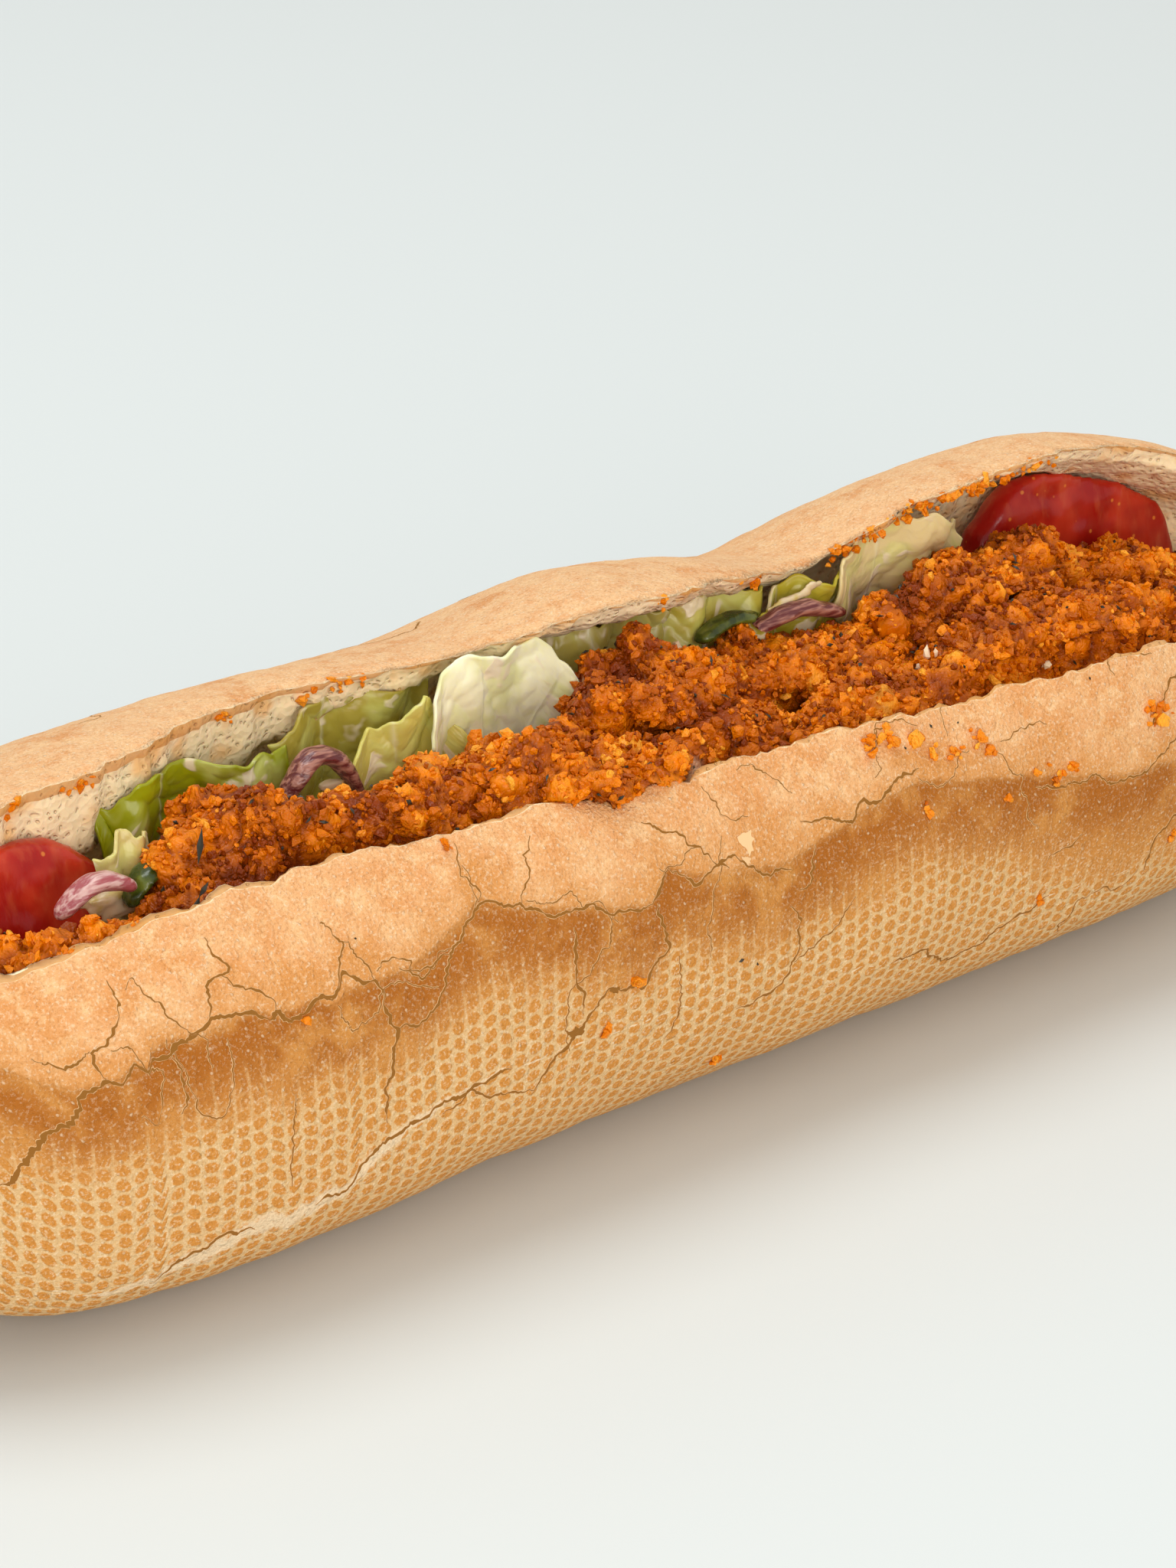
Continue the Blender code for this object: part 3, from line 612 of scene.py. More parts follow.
def bread():
    """The loaf's skin, finer towards the camera side, with its cut faces."""
    turn = math.pi / 2 * END_CROWDING
    xs = ROLL_LENGTH / 2 * np.sin(np.linspace(-1, 1, STATIONS) * turn) / math.sin(turn)
    outer = FRONT_COLUMNS + BACK_COLUMNS
    shares = np.concatenate([
        np.linspace(0, FRONT_SHARE, FRONT_COLUMNS, endpoint=False),
        np.linspace(FRONT_SHARE, 1, BACK_COLUMNS),
    ])
    inner = INNER_COLUMNS + FACE_COLUMNS - 1
    columns = outer + inner
    points = np.empty((STATIONS, columns, 3))
    arcs = np.zeros((STATIONS, outer))
    for k, x in enumerate(xs):
        near, lid = lips(x)
        angles = near + (lid + 360 - near) * shares
        ring = [crust_point(x, a) for a in angles]
        ring += reversed(pocket_path(x, ring[0], ring[-1]))
        points[k] = [tuple(p) for p in ring]
        lengths = np.linalg.norm(np.diff(points[k][:outer], axis=0), axis=1)
        along = np.concatenate([[0.0], np.cumsum(lengths)])
        arcs[k] = np.interp(270, angles, along) - along
    tapers = np.array([end_taper(x) for x in xs]) * ROLL_HEIGHT / 2
    lengthways = np.concatenate([[0.0], np.cumsum(np.hypot(np.diff(xs), np.diff(tapers)))])
    lengthways -= lengthways[STATIONS // 2]
    inside = np.zeros((STATIONS, columns))
    inside[:, outer:] = 1.0
    inside[:, 0] = inside[:, outer - 1] = 0.45
    inside[xs > TORN_BEFORE, -RIM_COLUMNS:] = 0.95

    flat = points.reshape(-1, 3)
    faces = grid_faces(STATIONS, columns, True)[:, ::-1]
    obj = mesh_object("bread", flat, faces, crust_material())
    obj.data.materials.append(crumb_material())
    cut = inside.ravel()
    crumb_faces = (cut[faces] > 0.9).sum(1) >= 2
    obj.data.polygons.foreach_set("material_index", crumb_faces.astype(np.int32))
    x_mm, s_mm = xs[:, None] * 1000, arcs * 1000
    front_ends = np.minimum(table(PLATES_END, x_mm), table(FRONT_PLATES_SHARE, abs(x_mm)) * s_mm[:, :1])
    back_ends = np.minimum(BACK_PLATES_END, -BACK_PLATES_SHARE * s_mm[:, -1:])
    ends = np.where(s_mm > 0, front_ends, back_ends)
    ledge = np.zeros((STATIONS, columns))
    ledge[:, :outer] = LEDGE * np.clip((abs(s_mm) - ends) / 0.8, 0, 1)
    height = 0.40 * grain(flat, 15, 1) + 0.20 * grain(flat, 6, 2) + 0.09 * grain(flat, 2.2, 3)
    rough = 0.8 * grain(flat, 4.5, 4) + 0.6 * grain(flat, 1.8, 5)
    height = np.where(cut > 0.9, rough, height)
    height[:] += ledge.ravel()
    settled = np.clip(flat[:, 2] / 0.004, 0, 1)
    moved = flat + normals_of(obj) * (height * settled * MM)[:, None]
    moved[:, 2] = np.maximum(moved[:, 2], 0.0)
    obj.data.vertices.foreach_set("co", moved.ravel())
    obj.data.update()

    wrap, zones = np.zeros((2, STATIONS, columns, 3))
    wrap[:, :outer, 0] = lengthways[:, None] * 1000
    wrap[:, :outer, 1] = s_mm
    wrap[:, :, 2] = points[:, :, 2] * 1000
    zones[:, :outer, 0] = ends - abs(s_mm)
    zones[:, :outer, 1] = abs(s_mm - table(SEAM, x_mm)) / table(SEAM_WIDTH, x_mm)
    zones[:, :, 2] = inside
    store(obj, "wrap", wrap.reshape(-1, 3))
    store(obj, "zones", zones.reshape(-1, 3))
    store(obj, "place", moved)
    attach(obj, "root")
    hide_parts("bread_roll")
    grid = moved.reshape(STATIONS, columns, 3)[:, :outer]
    outward = normals_of(obj).reshape(STATIONS, columns, 3)[:, :outer]
    return obj, Crust(xs, arcs, grid, outward)


def crack_material():
    g = Graph("crack")
    dark = g.attribute("dark").outputs["Fac"]
    # Dark core partly painted shade, pale edge partly painted highlight
    return g.surface(Base_Color=g.mix(dark, PALE_FLAKE_AND_HIGHLIGHT, CRACK_AND_SHADE), Roughness=0.9, Specular_IOR_Level=0.1)


def wandering(x, s, width):
    """A crack that walks over the crust by itself: its width and points."""
    heading = RNG.uniform(0, math.tau)
    path = [(x, s)]
    for _ in range(RNG.integers(5, 14)):
        heading += RNG.normal(0, 0.6)
        stride = RNG.uniform(1.0, 3.0)
        x, s = x + stride * math.cos(heading), s + stride * math.sin(heading)
        if abs(x) > 136 or s < -104 or s > 84:
            break
        path.append((x, s))
    return (width, *path)


def all_cracks():
    """The traced cracks, wandering ones where nothing is traced, and hairlines between the plates."""
    found = list(CRACKS)
    for k in range(MORE_CRACKS):
        if k % 4:
            x, s = RNG.uniform(-132, 132), RNG.uniform(-100, -30)
        else:
            x, s = RNG.uniform(62, 132), RNG.uniform(46, 82)
        found.append(wandering(x, s, RNG.uniform(0.14, 0.34)))
    for _ in range(HAIRLINES):
        found.append(wandering(RNG.uniform(-125, 130), RNG.uniform(70, 84), RNG.uniform(0.08, 0.14)))
    return found


def broken_spots(crust, points, faces, dark):
    """Small ragged patches where the crust is holed or torn away."""
    corners = 18
    for x, s, wide, high, value in BROKEN:
        start = len(points)
        point, normal = crust.at(x, s)
        points.append(point + normal * 0.05 * MM)
        for k in range(corners):
            angle = math.tau * k / corners
            reach = RNG.uniform(0.55, 1.15)
            aside, up = wide * reach * math.cos(angle), high * reach * math.sin(angle)
            point, normal = crust.at(x + aside, s + up)
            points.append(point + normal * 0.05 * MM)
        faces += [(start, start + 1 + k, start + 1 + (k + 1) % corners) for k in range(corners)]
        dark += [value] * (corners + 1)


def cracks(crust):
    """Thin jagged lines of broken crust, each a dark ribbon, partly painted shade in the crack, with a paler
    flake edge on both sides, partly a painted highlight on the raised edge.
    """
    points, faces, dark = [], [], []
    broken_spots(crust, points, faces, dark)
    for width, *path in all_cracks():
        path = np.array(path, dtype=float)
        if len(path) < 2:
            continue
        lengths = np.concatenate([[0.0], np.cumsum(np.linalg.norm(np.diff(path, axis=0), axis=1))])
        count = max(int(lengths[-1] / CRACK_STEP), 4)
        at = np.linspace(0, lengths[-1], count)
        line = np.stack([np.interp(at, lengths, path[:, axis]) for axis in (0, 1)], -1)
        ways = np.gradient(line, axis=0)
        ways /= np.linalg.norm(ways, axis=1, keepdims=True)
        across = np.stack([-ways[:, 1], ways[:, 0]], -1)
        seed = RNG.uniform(0, 900)
        jags = np.array([
            0.9 * noise.noise(Vector((seed, a * 0.35, 0)))
            + 0.40 * noise.noise(Vector((seed, a * 1.1, 5)))
            + 0.18 * noise.noise(Vector((seed, a * 2.9, 7)))
            for a in at
        ])
        ends = np.clip(np.minimum(at, lengths[-1] - at) / 2.0, 0.15, 1)
        line += across * (jags * np.clip(ends * 2, 0, 1))[:, None]
        swell = np.array([noise.noise(Vector((seed, 9, a * 0.9))) for a in at])
        wide = width * ends * (1.15 + 1.35 * swell)
        wide = np.maximum(wide, 0.07)
        start = len(points)
        for k in range(count):
            flake = 0.04 + 0.08 * RNG.random()
            for side, lift, value in ((-1, 0.0, 0), (-1, 0.05, 1), (1, 0.05, 1), (1, 0.0, 0)):
                reach = wide[k] / 2 + (flake if value == 0 else 0)
                point, normal = crust.at(*(line[k] + across[k] * side * reach))
                points.append(point + normal * (lift + 0.01) * MM)
                dark.append(value)
        for k in range(count - 1):
            a = start + 4 * k
            faces += [(a + i, a + i + 1, a + i + 5, a + i + 4) for i in range(3)]
    obj = mesh_object("cracks", points, faces, crack_material(), smooth=False)
    store(obj, "dark", dark)
    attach(obj, "root")


# Chicken


# Chicken

def remeshed(node, voxel):
    """Mesh of a frame node in world coordinates, as an even skin of small quads."""
    mesh = bpy.data.meshes.new_from_object(node.evaluated_get(bpy.context.evaluated_depsgraph_get()))
    mesh.transform(node.matrix_world)
    holder = bpy.data.objects.new("remesh", mesh)
    bpy.context.scene.collection.objects.link(holder)
    even = holder.modifiers.new("even", "REMESH")
    even.mode = "VOXEL"
    even.voxel_size = voxel
    bpy.context.view_layer.update()
    found = bpy.data.meshes.new_from_object(holder.evaluated_get(bpy.context.evaluated_depsgraph_get()))
    bpy.data.objects.remove(holder)
    return found


def chicken_material(name, knobbly):
    """Fried crumb: knobbly for the skin under the crumbs, plain for the crumbs themselves."""
    g = Graph(name)
    tone = g.attribute("tone").outputs["Fac"]
    depth, meat, _ = g.split(g.attribute("look").outputs["Vector"])
    place = g.scaled(g.attribute("place").outputs["Vector"], 1000)
    colour = g.mix(g.step(tone, 0.05, 0.45), (0.230, 0.034, 0.000), (0.540, 0.120, 0.000))
    colour = g.mix(g.step(tone, 0.40, 0.75), colour, (0.800, 0.212, 0.000))
    colour = g.mix(g.step(tone, 0.72, 1.0), colour, (0.940, 0.380, 0.025))
    # Painted shade in the crevices between the lumps
    colour = g.mix(g.math("MULTIPLY", g.step(depth, 0.50, 0.05), 0.7), colour, (0.17, 0.024, 0.000))
    normal = g.noise(place, 0.6, 1.0, 0.6).outputs[0]
    if knobbly:
        spots = g.noise(place, 4.5, 2.0, 0.6).outputs[0]
        colour = g.mix(g.math("MULTIPLY", g.step(spots, 0.50, 0.70), 0.6), colour, (0.260, 0.036, 0.000))
        colour = g.mix(meat, colour, (0.86, 0.62, 0.42))
    return g.surface(
        Base_Color=colour,
        Roughness=0.34,
        Specular_IOR_Level=0.20,
        Subsurface_Weight=0.12 if knobbly else 0.25,
        Subsurface_Radius=(0.0020, 0.0006, 0.0001),
        Normal=g.bump(g.math("MULTIPLY", normal, 0.5)),
    )


# Where the coating is darker, partly painted shade and partly darker crumb, and where it is missing, in mm:
# middle, reach and how much darker
DARK_CRUMB_AND_PAINTED_SHADE = (
    ((-86, -22, 51), 6, 0.60), ((-79, -22, 54), 6, 0.65), ((-71, -21, 53), 6, 0.60),
    ((-8, -9, 57), 9, 0.50), ((6, -16, 52), 8, 0.40), ((50, -5, 57), 9, 0.22), ((30, -19, 46), 7, 0.35),
    ((53, -14, 53), 5, 0.45), ((65, -14, 50.5), 5, 0.45), ((76, -14, 48), 5, 0.45),
    ((92, -14, 46), 6, 0.45), ((80, -12, 48), 10, 0.22), ((-112, -20, 45), 7, 0.15),
)
MEAT_AT = ((-9, -27, 51), 2.6)    # where the coating is off and the meat shows


def shaded(points):
    """How much darker the coating is at each point, from painted shade and darker crumb."""
    found = np.zeros(len(points))
    for middle, reach, much in DARK_CRUMB_AND_PAINTED_SHADE:
        away = np.linalg.norm(points * 1000 - middle, axis=1) / reach
        found = np.maximum(found, much * np.exp(-away**2))
    return found


def coat(node, seed, material):
    """A chicken piece with the knobbly skin of its crumb coating."""
    mesh = remeshed(node, COAT_VOXEL)
    obj = bpy.data.objects.new(node.name + "_coat", mesh)
    bpy.context.scene.collection.objects.link(obj)
    mesh.materials.clear()
    mesh.materials.append(material)
    mesh.shade_smooth()
    points, outward = points_of(obj), normals_of(obj)
    big, big2 = cells(points, 5.2, seed)
    small, small2 = cells(points, 1.6, seed + 40)
    lump = 2.0 * np.clip(big2 - big, 0, 0.5) + 0.7 * np.clip(small2 - small, 0, 0.5)
    bare = np.clip(1.6 - np.linalg.norm(points * 1000 - MEAT_AT[0], axis=1) / MEAT_AT[1], 0, 1)
    height = 1.6 * lump - 1.2 + 2.4 * grain(points, 9, seed) + 0.6 * grain(points, 1.3, seed + 2)
    height *= 1 - bare
    moved = points + outward * (height * MM)[:, None]
    mesh.vertices.foreach_set("co", moved.ravel())
    mesh.update()
    look = np.stack([np.clip(lump, 0, 1), bare, np.zeros(len(points))], -1)
    store(obj, "look", look)
    # Tone: random patches, painted brighter on high lumps and darker between them, less the painted shade
    # from shaded()
    tone = 0.50 + 0.55 * grain(points, 9, seed + 7) + 0.35 * (lump - 0.4) - shaded(points)
    store(obj, "tone", np.clip(tone, 0, 1))
    store(obj, "place", points)
    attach(obj, "root")
    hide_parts(node.name)
    return obj


# Ways out of the filling into open air
OPEN_WAYS = ((0, 0, 1), (-0.3, -0.8, 0.6), (0.3, -0.6, 0.8), (-0.6, -0.4, 0.6))


def shown_places(objects, count, reach=0.03):
    """Places on the chicken that open air reaches: point, normal and how high its lump stands."""
    trees = []
    for obj in objects:
        faces = [tuple(p.vertices) for p in obj.data.polygons]
        trees.append(BVHTree.FromPolygons([Vector(v.co) for v in obj.data.vertices], faces))
    ways = [Vector(w).normalized() for w in OPEN_WAYS]
    chicken = [k for k, obj in enumerate(objects) if obj.name.startswith("chicken")]
    areas = [np.array([p.area for p in objects[k].data.polygons]) for k in chicken]
    lumps = [[v.vector[0] for v in objects[k].data.attributes["look"].data] for k in chicken]
    share = np.array([a.sum() for a in areas])
    found = []
    for k, area, lump in zip(chicken, areas, lumps):
        wanted = int(count * area.sum() / share.sum() * 2.2)
        obj = objects[k]
        for i in RNG.choice(len(area), wanted, p=area / area.sum()):
            face = obj.data.polygons[i]
            start = face.center + face.normal * 0.0012
            open_ways = 0
            for way in ways:
                if face.normal.dot(way) <= 0.0:
                    continue
                if all(t.ray_cast(start, way, reach)[0] is None for t in trees):
                    open_ways += 1
            if open_ways:
                found.append((np.array(face.center), np.array(face.normal), lump[face.vertices[0]]))
    order = RNG.permutation(len(found))[:count]
    return [found[i] for i in order]


def chunk(radius, seed_shape):
    """Corners of one angular crumb, from a primitive ball pushed out of shape."""
    shape = seed_shape * RNG.uniform(0.55, 1.30, (len(seed_shape), 1))
    shape = shape * RNG.uniform(0.55, 1.35, 3) * radius
    turn = np.array(Euler(RNG.uniform(0, math.tau, 3)).to_matrix())
    return shape @ turn.T


def ball():
    bm = bmesh.new()
    bmesh.ops.create_icosphere(bm, subdivisions=1, radius=1.0)
    points = np.array([v.co for v in bm.verts])
    faces = np.array([[v.index for v in f.verts] for f in bm.faces])
    bm.free()
    return points, faces


def crumbs_at(name, places, sizes, tones, material, sink=0.35):
    """Many crumbs as one mesh: places are (point, normal), sizes their radii in metres."""
    shape, tris = ball()
    points, faces, tone = [], [], []
    for n, ((place, normal), size, value) in enumerate(zip(places, sizes, tones)):
        points.append(chunk(size, shape) + place + normal * size * sink)
        faces.append(tris + n * len(shape))
        tone.append(np.full(len(shape), value))
    obj = mesh_object(name, np.concatenate(points), np.concatenate(faces), material, smooth=False)
    store(obj, "tone", np.concatenate(tone))
    store(obj, "look", np.tile((0.8, 0.0, 0.0), (len(obj.data.vertices), 1)))
    store(obj, "place", np.concatenate(points))
    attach(obj, "root")
    return obj


def away_from_meat(places):
    middle, reach = MEAT_AT
    return [p for p in places if np.linalg.norm(p[0] * 1000 - middle) > reach * 1.5]


def coating_crumbs(places, name, middle_size, spread, material):
    """Crumbs stuck on the coating, about as dark or bright as the skin under them, with its painted shade,
    and painted brighter on high lumps.
    """
    sizes = np.clip(RNG.lognormal(math.log(middle_size), spread, len(places)), 0.2, 1.5) * MM
    under = shaded(np.array([p for p, _, _ in places]))
    waves = grain([p for p, _, _ in places], 6, 3)
    high = np.array([lump for _, _, lump in places])
    # High lumps painted brighter; under holds the painted shade and darker crumb of the coating there
    tones = RNG.normal(0.52, 0.16, len(places)) + 0.5 * waves + 0.40 * (high - 0.6) - under
    tones = np.clip(tones, 0, 1)
    obj = crumbs_at(name, [(p, n) for p, n, _ in places], sizes, tones, material)


def fallen_crumbs(crust, material):
    """Clusters of orange crumbs on the crust and along the lid's torn edge."""
    places = []
    for x, s, count, spread in FALLEN:
        for _ in range(count):
            places.append(crust.at(x + RNG.normal(0, spread * 0.6), s + RNG.normal(0, spread * 0.6)))
    for x, count, spread in LID_FALLEN:
        for _ in range(count):
            point, normal = crust.lip(x + RNG.normal(0, spread))
            drop = RNG.uniform(0.0, 2.2) * MM
            places.append((point + np.array([0.0, 0.0006, -drop]), normal))
    sizes = np.clip(RNG.lognormal(math.log(0.50), 0.35, len(places)), 0.25, 1.1) * MM
    tones = np.clip(RNG.normal(0.78, 0.12, len(places)), 0, 1)
    obj = crumbs_at("fallen_crumbs", places, sizes, tones, material, sink=0.5)


def pale_material():
    g = Graph("pale_crumb")
    return g.surface(Base_Color=(0.86, 0.68, 0.46), Roughness=0.7, Specular_IOR_Level=0.2)


# Cream crumbs of bread lying on the filling, in mm, and how many at each
PALE_BITS = (
    (4, -2, 56, 8), (10, -2, 57, 5), (42, -16, 52, 2), (44, -17, 52, 2), (60, -22, 50, 3),
    (-27, -20, 55, 1),
)


def pale_bits(places, material):
    spots = np.array([p for p, _, _ in places]) * 1000
    chosen = []
    for x, y, z, count in PALE_BITS:
        near = np.argsort(np.linalg.norm(spots - (x, y, z), axis=1))[: count * 3 : 3]
        chosen += [(places[i][0] + places[i][1] * 0.5 * MM, places[i][1]) for i in near]
    sizes = RNG.uniform(0.5, 0.95, len(chosen)) * MM
    obj = crumbs_at("pale_bits", chosen, sizes, np.ones(len(chosen)), material)


def herb_material():
    g = Graph("herb")
    return g.surface(Base_Color=(0.022, 0.018, 0.007), Roughness=0.5)


# Long slivers of herb: middle and half length, in mm
LONG_HERBS = (
    ((-82, -18, 61), (0.8, 0.2, 3.0)), ((-86, -22, 54), (0.6, 0.1, 1.5)), ((-84, -22, 56), (1.1, 0.1, 0.7)),
    ((2, -20, 53), (0.9, 0.0, -1.0)), ((-58, -20, 48), (0.2, 0.0, 1.2)),
)


def sliver(centre, half, normal, width, start):
    """Points and faces of one pointed sliver lying on a surface."""
    across = np.cross(half, normal)
    across *= width / np.linalg.norm(across)
    points = [centre - half, centre + across, centre + half, centre - across, centre + normal * 0.3 * MM]
    a = start
    faces = [(a, a + 1, a + 4), (a + 1, a + 2, a + 4), (a + 2, a + 3, a + 4), (a + 3, a, a + 4)]
    return points, faces + [(a, a + 3, a + 1), (a + 1, a + 3, a + 2)]


def herbs(places, crust, material):
    """Dark slivers of dried herb on the coating and flecks on the crust."""
    wanted = []
    for i in RNG.choice(len(places), HERB_COUNT, replace=False):
        place, normal, _ = places[i]
        side = np.cross(normal, RNG.normal(size=3))
        side *= RNG.uniform(0.3, 0.9) * MM / np.linalg.norm(side)
        wanted.append((place + normal * 0.8 * MM, side, normal, RNG.uniform(0.18, 0.38) * MM))
    spots = np.array([p for p, _, _ in places]) * 1000
    for middle, half in LONG_HERBS:
        place, normal, _ = places[int(np.argmin(np.linalg.norm(spots - middle, axis=1)))]
        half = np.array(half) * MM
        half -= normal * half.dot(normal) * 0.8
        wanted.append((place + normal * 1.7 * MM, half, normal, 0.45 * MM))
    for x, s, size in FLECKS:
        place, normal = crust.at(x, s)
        side = np.cross(normal, RNG.normal(size=3))
        wanted.append((place, side * size / 2 * MM / np.linalg.norm(side), normal, size * 0.3 * MM))
    points, faces = [], []
    for centre, half, normal, width in wanted:
        made, quads = sliver(centre, half, normal, width, len(points))
        points += made
        faces += quads
    obj = mesh_object("herbs", points, faces, material, smooth=False)
    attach(obj, "root")


# Salad


# Salad

def mm(x, y, z):
    return Vector((x, y, z)) / 1000


# Tint of each leaf; leaves 1, 3 and 6 are darker partly as painted shade, where they lie in shade
LEAF_TINTS_AND_SHADE = (
    (0.310, 0.340, 0.004), (0.640, 0.540, 0.200), (0.420, 0.350, 0.050), (0.640, 0.570, 0.130),
    (0.940, 0.940, 0.640),
    (0.480, 0.400, 0.090), (0.520, 0.440, 0.060), (0.480, 0.410, 0.030), (0.800, 0.680, 0.340),
)
LEAF_SMEAR = 0.58
CORNERED = 0.65                 # how far a leaf's rim is from a smooth curve to straight torn edges


def leaf_material():
    """Crisp lettuce: smooth and wet, faintly veined, with thin smears of sauce."""
    g = Graph("leaf")
    place = g.attribute("leaf").outputs["Vector"]
    u, v, _ = g.split(place)
    spread = g.math("DIVIDE", g.math("SUBTRACT", u, 10.0), g.math("SUBTRACT", 38.0, v))
    rays = g.math("ABSOLUTE", g.math("SINE", g.math("MULTIPLY", spread, 8.0)))
    patch = g.noise(place, 5.5, 2.0).outputs[0]
    vein = g.step(g.math("MULTIPLY_ADD", patch, 0.3, rays), 0.28, 0.08)
    smears = g.noise(g.wobble(place, 5.0, 2.0), 5.0, 2.0).outputs[0]
    smear = g.step(smears, LEAF_SMEAR, LEAF_SMEAR + 0.08)
    tint = g.attribute("tint").outputs["Vector"]
    colour = g.mix(g.math("MULTIPLY", g.step(patch, 0.44, 0.64), 0.5), tint, (0.70, 0.74, 0.24))
    colour = g.mix(g.math("MULTIPLY", vein, 0.45), colour, (0.88, 0.87, 0.62))
    colour = g.mix(g.math("MULTIPLY", smear, 0.75), colour, (0.88, 0.77, 0.58))
    ripple = g.noise(place, 1.6, 1.0).outputs[0]
    height = g.math("MULTIPLY_ADD", vein, 0.14, g.math("MULTIPLY", patch, 0.60))
    height = g.math("MULTIPLY_ADD", ripple, 0.22, height)
    height = g.math("MULTIPLY_ADD", smear, 0.08, height)
    return g.surface(
        Base_Color=colour,
        Roughness=0.28,
        Specular_IOR_Level=0.45,
        Subsurface_Weight=0.50,
        Subsurface_Radius=(0.0040, 0.0040, 0.0012),
        Normal=g.bump(height, 0.8),
    )


def straight_through(points, count):
    """Points evenly spaced by parameter on the straight lines between points."""
    found = []
    for k in range(count):
        t = k / (count - 1) * (len(points) - 1)
        i = min(int(t), len(points) - 2)
        found.append(points[i].lerp(points[i + 1], t - i))
    return found


def leaf(number, rim, foot, ruffle, material, curl=0.0, across=96, down=52, thickness=0.0005):
    """A lettuce leaf between the points of rim and a foot line, ruffled most at its rim."""
    seed = number
    curved, bottom = curve_through(rim, across), curve_through(foot, across)
    top = [a.lerp(b, CORNERED) for a, b in zip(curved, straight_through(rim, across))]
    rows = np.empty((down, across, 3))
    data = np.empty((down, across, 3))
    for j in range(down):
        v = j / (down - 1)
        for i in range(across):
            point = top[i].lerp(bottom[i], v)
            wave = math.sin(i * 0.13 + seed + v * 2.3) * ruffle * (1 - 0.6 * v)
            wave += noise.noise(point * 90 + Vector((seed, seed, 0))) * ruffle * 1.4
            crease = 1 - abs(noise.noise(point * 110 + Vector((0, seed, seed)))) * 2
            wave += max(crease, 0.0) ** 3 * ruffle * 0.45
            wrinkle = 1 - abs(noise.noise(point * 240 + Vector((seed, 0, seed)))) * 3
            wave += max(wrinkle, 0.0) ** 2 * ruffle * 0.20
            wave += noise.noise(point * 420 + Vector((0, seed, seed))) * ruffle * 0.14
            wave -= curl * max(i / (across - 1) - 0.78, 0.0) ** 2 * 20
            bulge = math.sin(math.pi * v) * ruffle * 0.8
            frill = noise.noise(Vector((i * 0.12, seed * 3.3, 0))) * ruffle * 1.1 * (1 - v)
            rows[j, i] = point + Vector((0, wave - bulge, 0.25 * wave + frill))
            data[j, i] = ((point.x - top[0].x) * 1000, v * 24, seed * 9.0)
    du, dv = np.gradient(rows, axis=1), np.gradient(rows, axis=0)
    normal = np.cross(du, dv)
    normal /= np.linalg.norm(normal, axis=-1, keepdims=True)
    front = (rows + normal * thickness / 2).reshape(-1, 3)
    back = (rows - normal * thickness / 2).reshape(-1, 3)
    quads = grid_faces(down, across, False)
    count = across * down
    rim_loop = list(range(across)) + [j * across + across - 1 for j in range(1, down)]
    rim_loop += [(down - 1) * across + i for i in range(across - 2, -1, -1)]
    rim_loop += [j * across for j in range(down - 2, 0, -1)]
    walls = [(a, b, b + count, a + count) for a, b in zip(rim_loop, rim_loop[1:] + rim_loop[:1])]
    faces = np.concatenate([quads[:, ::-1], quads + count, np.array(walls)[:, ::-1]])
    obj = mesh_object(f"leaf_{number}", np.concatenate([front, back]), faces, material)
    store(obj, "leaf", np.concatenate([data.reshape(-1, 3)] * 2))
    store(obj, "tint", np.tile(LEAF_TINTS_AND_SHADE[number - 1], (2 * count, 1)))
    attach(obj, "root")
    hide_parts(f"lettuce_{number}")
    return obj


def leaves(material):
    leaf(1, [mm(-86, 0, 56), mm(-80, 1, 62), mm(-68, 2, 59.5), mm(-54, 3, 58)],
         [mm(-84, 4, 42), mm(-56, 5, 42)], 0.0016, material)
    leaf(2, [mm(-92, -8, 57), mm(-87, -7, 59), mm(-82, -6, 56)],
         [mm(-90, -9, 43), mm(-83, -8, 43)], 0.0009, material)
    leaf(3, [mm(-56, 5, 58), mm(-50, 5.5, 61.5), mm(-42, 6, 62), mm(-33, 6, 60.5), mm(-27, 6, 59)],
         [mm(-48, 8, 42), mm(-30, 8, 42)], 0.0014, material)
    leaf(4, [mm(-50, -2, 54), mm(-43, -2, 58), mm(-35, -2, 62), mm(-29, -2, 56)],
         [mm(-46, 0, 43), mm(-30, 0, 43)], 0.0013, material)
    leaf(5, [mm(-36, -3, 57), mm(-32, -3, 64), mm(-24, -3, 66), mm(-13, -3, 63.5), mm(-9, -3, 56)],
         [mm(-31, 0, 43), mm(-12, 0, 43)], 0.0014, material, curl=0.004)
    leaf(6, [mm(-13, 4, 61), mm(-3, 4, 63), mm(6, 4, 63), mm(13, 4, 61)],
         [mm(-10, 6, 42), mm(10, 6, 42)], 0.0016, material)
    leaf(7, [mm(10, 6, 60), mm(18, 5, 62), mm(26, 5, 61), mm(33, 6, 58)],
         [mm(11, 8, 42), mm(30, 8, 42)], 0.0016, material)
    leaf(8, [mm(23, 2, 55.5), mm(30, 2.5, 57.8), mm(39, 2, 59.2), mm(47, 2, 57)],
         [mm(28, 5, 45), mm(44, 6, 45)], 0.0016, material)
    leaf(9, [mm(43, 3, 53), mm(45, 3, 61), mm(56, 2, 65), mm(66, 3, 63), mm(71, 4, 57)],
         [mm(52, 9, 44), mm(68, 10, 44)], 0.0013, material)


